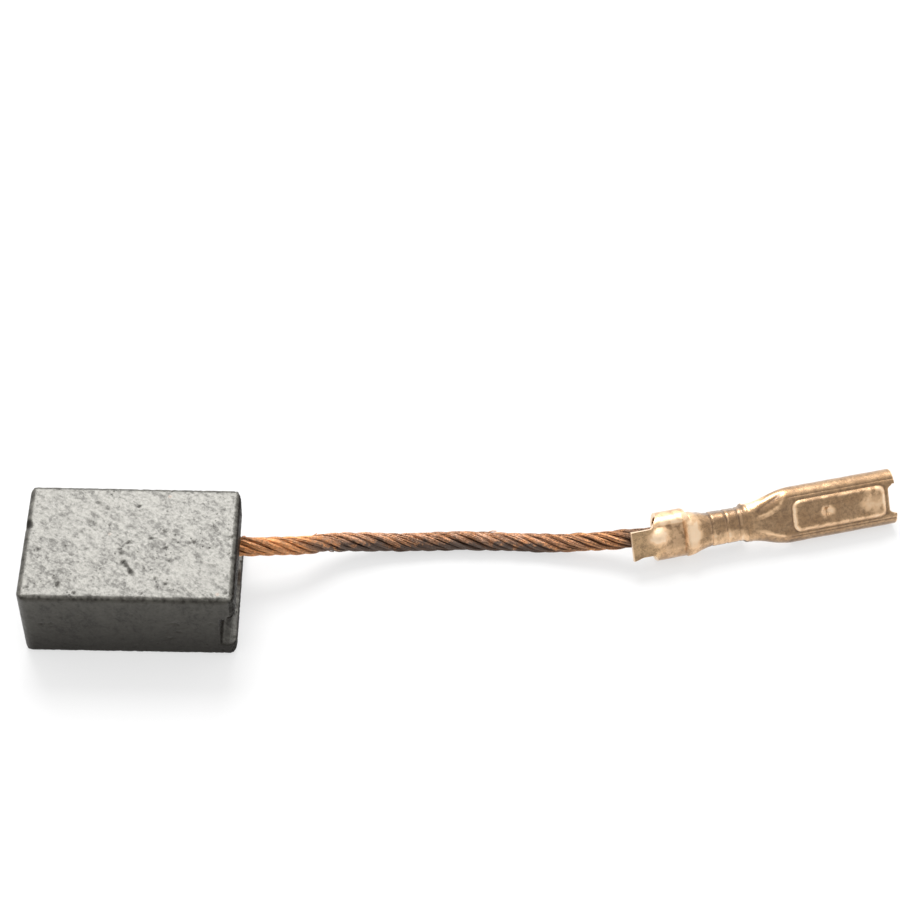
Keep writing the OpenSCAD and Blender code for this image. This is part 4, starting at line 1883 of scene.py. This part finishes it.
@dataclass
class CarbonBlock:
    """The carbon block, with pores, scratches and worn edges cut into its skin."""

    voxel: float = 0.085
    grain: float = 0.006
    pores: int = 110
    pore_depth: float = 0.05
    fine_scratches: int = 22
    scratch_heading: float = -38.0
    end_roughness: float = 0.065
    edge_wear: float = 0.03
    groove_depth: float = 1.0
    groove_middle: float = 2.85
    groove_half_width: float = 1.46
    chip: Point = (-7.0, 1.45, 6.1)
    seed: int = 12
    gouges: tuple[Mark, ...] = (
        (-2.56, 3.35, -1.40, 2.48, 0.030), (-0.72, -0.42, -0.32, -1.09, 0.03),
        (-0.38, -1.50, 0.40, -2.60, 0.065), (-4.68, -2.81, -4.27, -3.59, 0.05),
        (0.30, 0.62, 0.52, 0.45, 0.05), (-2.97, 1.70, -2.46, 1.49, 0.045),
        (5.09, 1.48, 5.60, 1.25, 0.03), (2.34, -3.15, 3.17, -3.41, 0.025),
    )
    box: tuple[Point, Point] = field(default_factory=lambda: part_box("carbon_block"))

    @property
    def low(self) -> np.ndarray:
        """The block's lowest corner in millimetres."""
        return np.array(self.box[0]) / MM

    @property
    def high(self) -> np.ndarray:
        """The block's highest corner in millimetres."""
        return np.array(self.box[1]) / MM

    def scratch_lines(self) -> list[Mark]:
        """Lists the marks on the upper face.

        Returns:
            Two ends and a depth for each.
        """
        chance = np.random.default_rng(self.seed)
        lines = list(self.gouges)
        for _ in range(self.fine_scratches):
            x, y = chance.uniform(self.low[:2] + 0.8, self.high[:2] - 0.8)
            angle = math.radians(chance.normal(self.scratch_heading, 30))
            length = chance.uniform(0.2, 0.8)
            depth = chance.uniform(0.006, 0.02)
            lines.append((x, y, x + length * math.cos(angle), y + length * math.sin(angle), depth))
        return lines

    def scratched(self, points: np.ndarray) -> np.ndarray:
        """Cuts the marks into the upper face.

        Args:
            points: The skin's points in millimetres.

        Returns:
            The depth of the marks at each point.
        """
        depth = np.zeros(len(points))
        on_top = points[:, 2] > self.high[2] - 0.12
        face = points[on_top, :2]
        ragged = fractal_at(np.column_stack([face, np.ones(len(face))]), 3, 0.9)
        for x, y, end_x, end_y, cut in self.scratch_lines():
            run = np.array([end_x - x, end_y - y])
            length = np.linalg.norm(run)
            away = face - np.array([x, y])
            along = away @ run / length
            across = away @ np.array([-run[1], run[0]]) / length + 0.11 * ragged
            width = 0.05 + 1.2 * cut
            taper = smoothstep(-0.15, 0.25, along) * smoothstep(length + 0.15, length - 0.25, along)
            broken = np.clip(0.75 + 1.3 * ragged, 0, 1.2)
            shape = taper * smoothstep(width * 1.7, 0, abs(across)) * broken
            depth[on_top] = np.maximum(depth[on_top], cut * shape)
        return depth

    def pored(self, points: np.ndarray) -> np.ndarray:
        """Strews pores over the skin.

        Args:
            points: The skin's points in millimetres.

        Returns:
            How deep in a pore each point is, from 0 to 1.
        """
        chance = np.random.default_rng(self.seed + 1)
        centres = points[chance.integers(0, len(points), self.pores)]
        radii = chance.gamma(2.0, 0.022, self.pores) + 0.06
        pits = np.zeros(len(points))
        for centre, radius in zip(centres, radii):
            near = np.flatnonzero(abs(points[:, 0] - centre[0]) < 3 * radius)
            away = points[near] - centre
            away[:, 0] *= 0.7
            distance = np.linalg.norm(away, axis=1) * (1 + 1.2 * noise_at(points[near], 9))
            pits[near] = np.maximum(pits[near], smoothstep(radius * 1.3, 0, distance))
        return pits

    def worn_edges(self, points: np.ndarray) -> np.ndarray:
        """Crumbles the block's edges.

        Args:
            points: The skin's points in millimetres.

        Returns:
            How much each point has crumbled, from 0 to 1.
        """
        inset = np.minimum(points - self.low, self.high - points)
        near = np.sort(inset, axis=1)[:, 1]
        return smoothstep(0.4, 0.05, near) * smoothstep(-0.1, 0.5, noise_at(points, 4.5))

    def grooved(self, points: np.ndarray) -> np.ndarray:
        """Finds the faces of the groove.

        Args:
            points: The skin's points in millimetres.

        Returns:
            1 where a point lies on the groove's own faces, and 0 elsewhere.
        """
        depth = self.high[0] - points[:, 0]
        inside = (depth > 0.1) & (depth < self.groove_depth + 0.1)
        inside &= abs(points[:, 2] - self.groove_middle) < self.groove_half_width
        inset = np.minimum(points[:, 1] - self.low[1], self.high[1] - points[:, 1])
        return (inside & (inset > 0.02)).astype(float)

    def shade_and_grime(self, points: np.ndarray, upright: np.ndarray, in_groove: np.ndarray) -> np.ndarray:
        """Darkens the skin: painted shade low on the sides, in the groove and in the chip, and a
        darker wire end.

        Args:
            points: The skin's points in millimetres.
            upright: 1 where the skin faces up or down, 0 where it faces sideways.
            in_groove: 1 on the groove's own faces, 0 elsewhere.

        Returns:
            How dark each point is, from 0 to 1.
        """
        height = (points[:, 2] - self.low[2]) / (self.high[2] - self.low[2])
        # Painted shade: the sides darken towards the floor.
        sides = (1 - upright) * smoothstep(1.1, -0.25, height) * 0.85
        end = smoothstep(self.high[0] - 0.35, self.high[0] - 0.1, points[:, 0])
        end = (1 - upright) * end * 0.95
        # Painted shade in the chip.
        chipped = smoothstep(0.55, 0.25, np.linalg.norm(points - np.array(self.chip), axis=1))
        # The groove gets painted shade and the wire end is darker, both broken up unevenly.
        uneven = np.clip(0.97 - 0.7 * fractal_at(points, 4.0, 0.8), 0.3, 1.0)
        return np.maximum.reduce([sides, uneven * np.maximum(end, in_groove), 0.9 * chipped])

    def rough_end(self, points: np.ndarray, sideways: np.ndarray,
                  in_groove: np.ndarray) -> np.ndarray:
        """Roughens the wire end and the groove.

        Args:
            points: The skin's points in millimetres.
            sideways: How far the skin faces along the block, from 0 to 1.
            in_groove: 1 on the groove's own faces, 0 elsewhere.

        Returns:
            How rough each point is, from 0 to 1.
        """
        end = smoothstep(self.high[0] - 1.15, self.high[0] - 0.9, points[:, 0])
        end = end * np.maximum(smoothstep(0.3, 0.6, sideways), in_groove)
        return end * np.abs(fractal_at(points, 5.0, 0.7))

    def build(self) -> bpy.types.Object:
        """Cuts the marks into the block's skin and notes them for its finish.

        Returns:
            The block, in metres.
        """
        block = fine_skin("carbon_block", "carbon_body", self.voxel)
        mesh = block.data
        points, normals = coordinates(mesh), coordinates(mesh, "normal")
        in_groove = self.grooved(points)
        upright = smoothstep(0.6, 0.95, abs(normals[:, 2])) * (1 - in_groove)
        pits = self.pored(points)
        scratches = self.scratched(points)
        worn = self.worn_edges(points)
        grain = fractal_at(points, 3.0, 1.0)
        rough = (1 - upright) * self.rough_end(points, abs(normals[:, 0]), in_groove)
        depth = (self.pore_depth * pits + scratches + self.edge_wear * worn
                 + self.grain * (1 - grain) + self.end_roughness * rough * (1 + in_groove))
        set_coordinates(mesh, (points - normals * depth[:, None]) * MM)
        dark = pits * (0.25 + 0.6 * upright) + scratches / 0.055 + 2.4 * rough
        point_values(mesh, "pit", np.clip(dark, 0, 1))
        # Painted shade low on the sides, in the groove and in the chip, with the darker wire end
        # and the worn edges.
        grime_and_shade = self.shade_and_grime(points, upright, in_groove)
        point_values(mesh, "grime_and_shade", np.maximum(grime_and_shade, 0.7 * worn))
        point_values(mesh, "ground", upright)
        mesh.shade_smooth()
        return block


@dataclass
class TampingPlug:
    """The contact powder packed round the lead."""

    voxel: float = 0.07
    roughness: float = 0.05
    rough_zone: float = 0.3

    def build(self) -> bpy.types.Object:
        """Roughens the outer end of the plug.

        Returns:
            The plug, in metres.
        """
        plug = fine_skin("tamping_plug", "powder_plug", self.voxel)
        mesh = plug.data
        points = coordinates(mesh)
        top = points[:, 0].max()
        lift = smoothstep(top - self.rough_zone, top, points[:, 0]) * fractal_at(points, 4.5, 0.8)
        points[:, 0] -= np.abs(lift * self.roughness)
        set_coordinates(mesh, points * MM)
        mesh.shade_smooth()
        return plug


# --- Studio -------------------------------------------------------------------------------


@dataclass
class Studio:
    """Camera, floor, lamp and world."""

    camera_place: Point = (16.482, -83.935, 119.709)
    camera_turn: Point = (39.071, -2.089, -0.189)
    lens: float = 86.0
    sensor: float = 36.0
    nearest_seen: float = 0.005
    floor_size: float = 1.6
    key_size: float = 0.30
    key_watts: float = 3.2
    key_place: Point = (-0.06, 0.38, 0.50)
    key_aim: Point = (0.015, 0, 0)
    dark_side: Point = (0.2, -0.78, 0.59)
    dark_until: float = 0.93
    bright_from: float = 0.35
    dark_level: float = 0.56
    bright_level: float = 0.98

    def add_camera(self) -> None:
        """Makes the camera."""
        data = bpy.data.cameras.new("camera")
        data.lens = self.lens
        data.sensor_width = self.sensor
        data.clip_start = self.nearest_seen
        camera = new_object("camera", data)
        camera.location = Vector(self.camera_place) * MM
        camera.rotation_euler = Euler([math.radians(a) for a in self.camera_turn], "XYZ")
        bpy.context.scene.camera = camera

    def add_floor(self) -> None:
        """Makes the floor."""
        half = self.floor_size / 2
        mesh = bpy.data.meshes.new("floor")
        corners = [(-half, -half, 0), (half, -half, 0), (half, half, 0), (-half, half, 0)]
        mesh.from_pydata(corners, [], [(0, 1, 2, 3)])
        mesh.materials.append(PaleFloorFinish().build())
        new_object("floor", mesh)

    def add_key(self) -> None:
        """Makes the large soft lamp behind and above the part."""
        data = bpy.data.lights.new("key", "AREA")
        data.shape = "SQUARE"
        data.size = self.key_size
        data.energy = self.key_watts
        lamp = new_object("key", data)
        lamp.location = self.key_place
        aim = Vector(self.key_aim) - Vector(self.key_place)
        lamp.rotation_euler = aim.to_track_quat("-Z", "Y").to_euler()

    def add_world(self) -> None:
        """Makes the pale surroundings, darker on the side of the camera."""
        world = bpy.data.worlds.new("pale_room")
        world.use_nodes = True
        world.node_tree.nodes.clear()
        tree = NodeTree(world.node_tree)
        where = tree.add("ShaderNodeTexCoord").outputs["Generated"]
        lean = tree.value("ShaderNodeVectorMath", "Value", {0: where, 1: self.dark_side},
                          operation="DOT_PRODUCT")
        level = tree.value("ShaderNodeMapRange", 0, {
            "Value": lean, "From Min": self.dark_until, "From Max": self.bright_from,
            "To Min": self.dark_level, "To Max": self.bright_level,
        }, interpolation_type="SMOOTHSTEP")
        strength = level.most(tree.value("ShaderNodeLightPath", "Is Camera Ray"))
        glow = tree.add("ShaderNodeBackground", {"Color": (1, 1, 1, 1), "Strength": strength})
        tree.add("ShaderNodeOutputWorld", {"Surface": glow.outputs[0]})
        bpy.context.scene.world = world

    def build(self) -> None:
        """Makes the floor, the lamp and the world."""
        self.add_floor()
        self.add_key()
        self.add_world()
        bpy.context.scene.view_settings.view_transform = "Standard"


def main() -> None:
    """Builds the scene, piece by piece."""
    logging.basicConfig(level=logging.INFO, format="%(name)s: %(message)s")
    studio = Studio()
    studio.add_camera()
    sizes = TerminalSizes()
    lie = TerminalLie()
    lie.z = sizes.resting_height(lie.roll)

    copper = CopperFinish().build()
    lead = StrandedLead(sizes, lie)
    rope = lead.build(copper)
    finish_piece(rope, "lead", copper)

    terminal = FoldedTerminal(sizes, lie).build()
    finish_piece(terminal, "terminal", BrassFinish(lie=lie.turn).build())

    block = CarbonBlock().build()
    finish_piece(block, "carbon_block", CarbonFinish().build())

    plug = TampingPlug().build()
    finish_piece(plug, "tamping_plug", PowderFinish().build())

    studio.build()


if __name__ == "__main__":
    main()
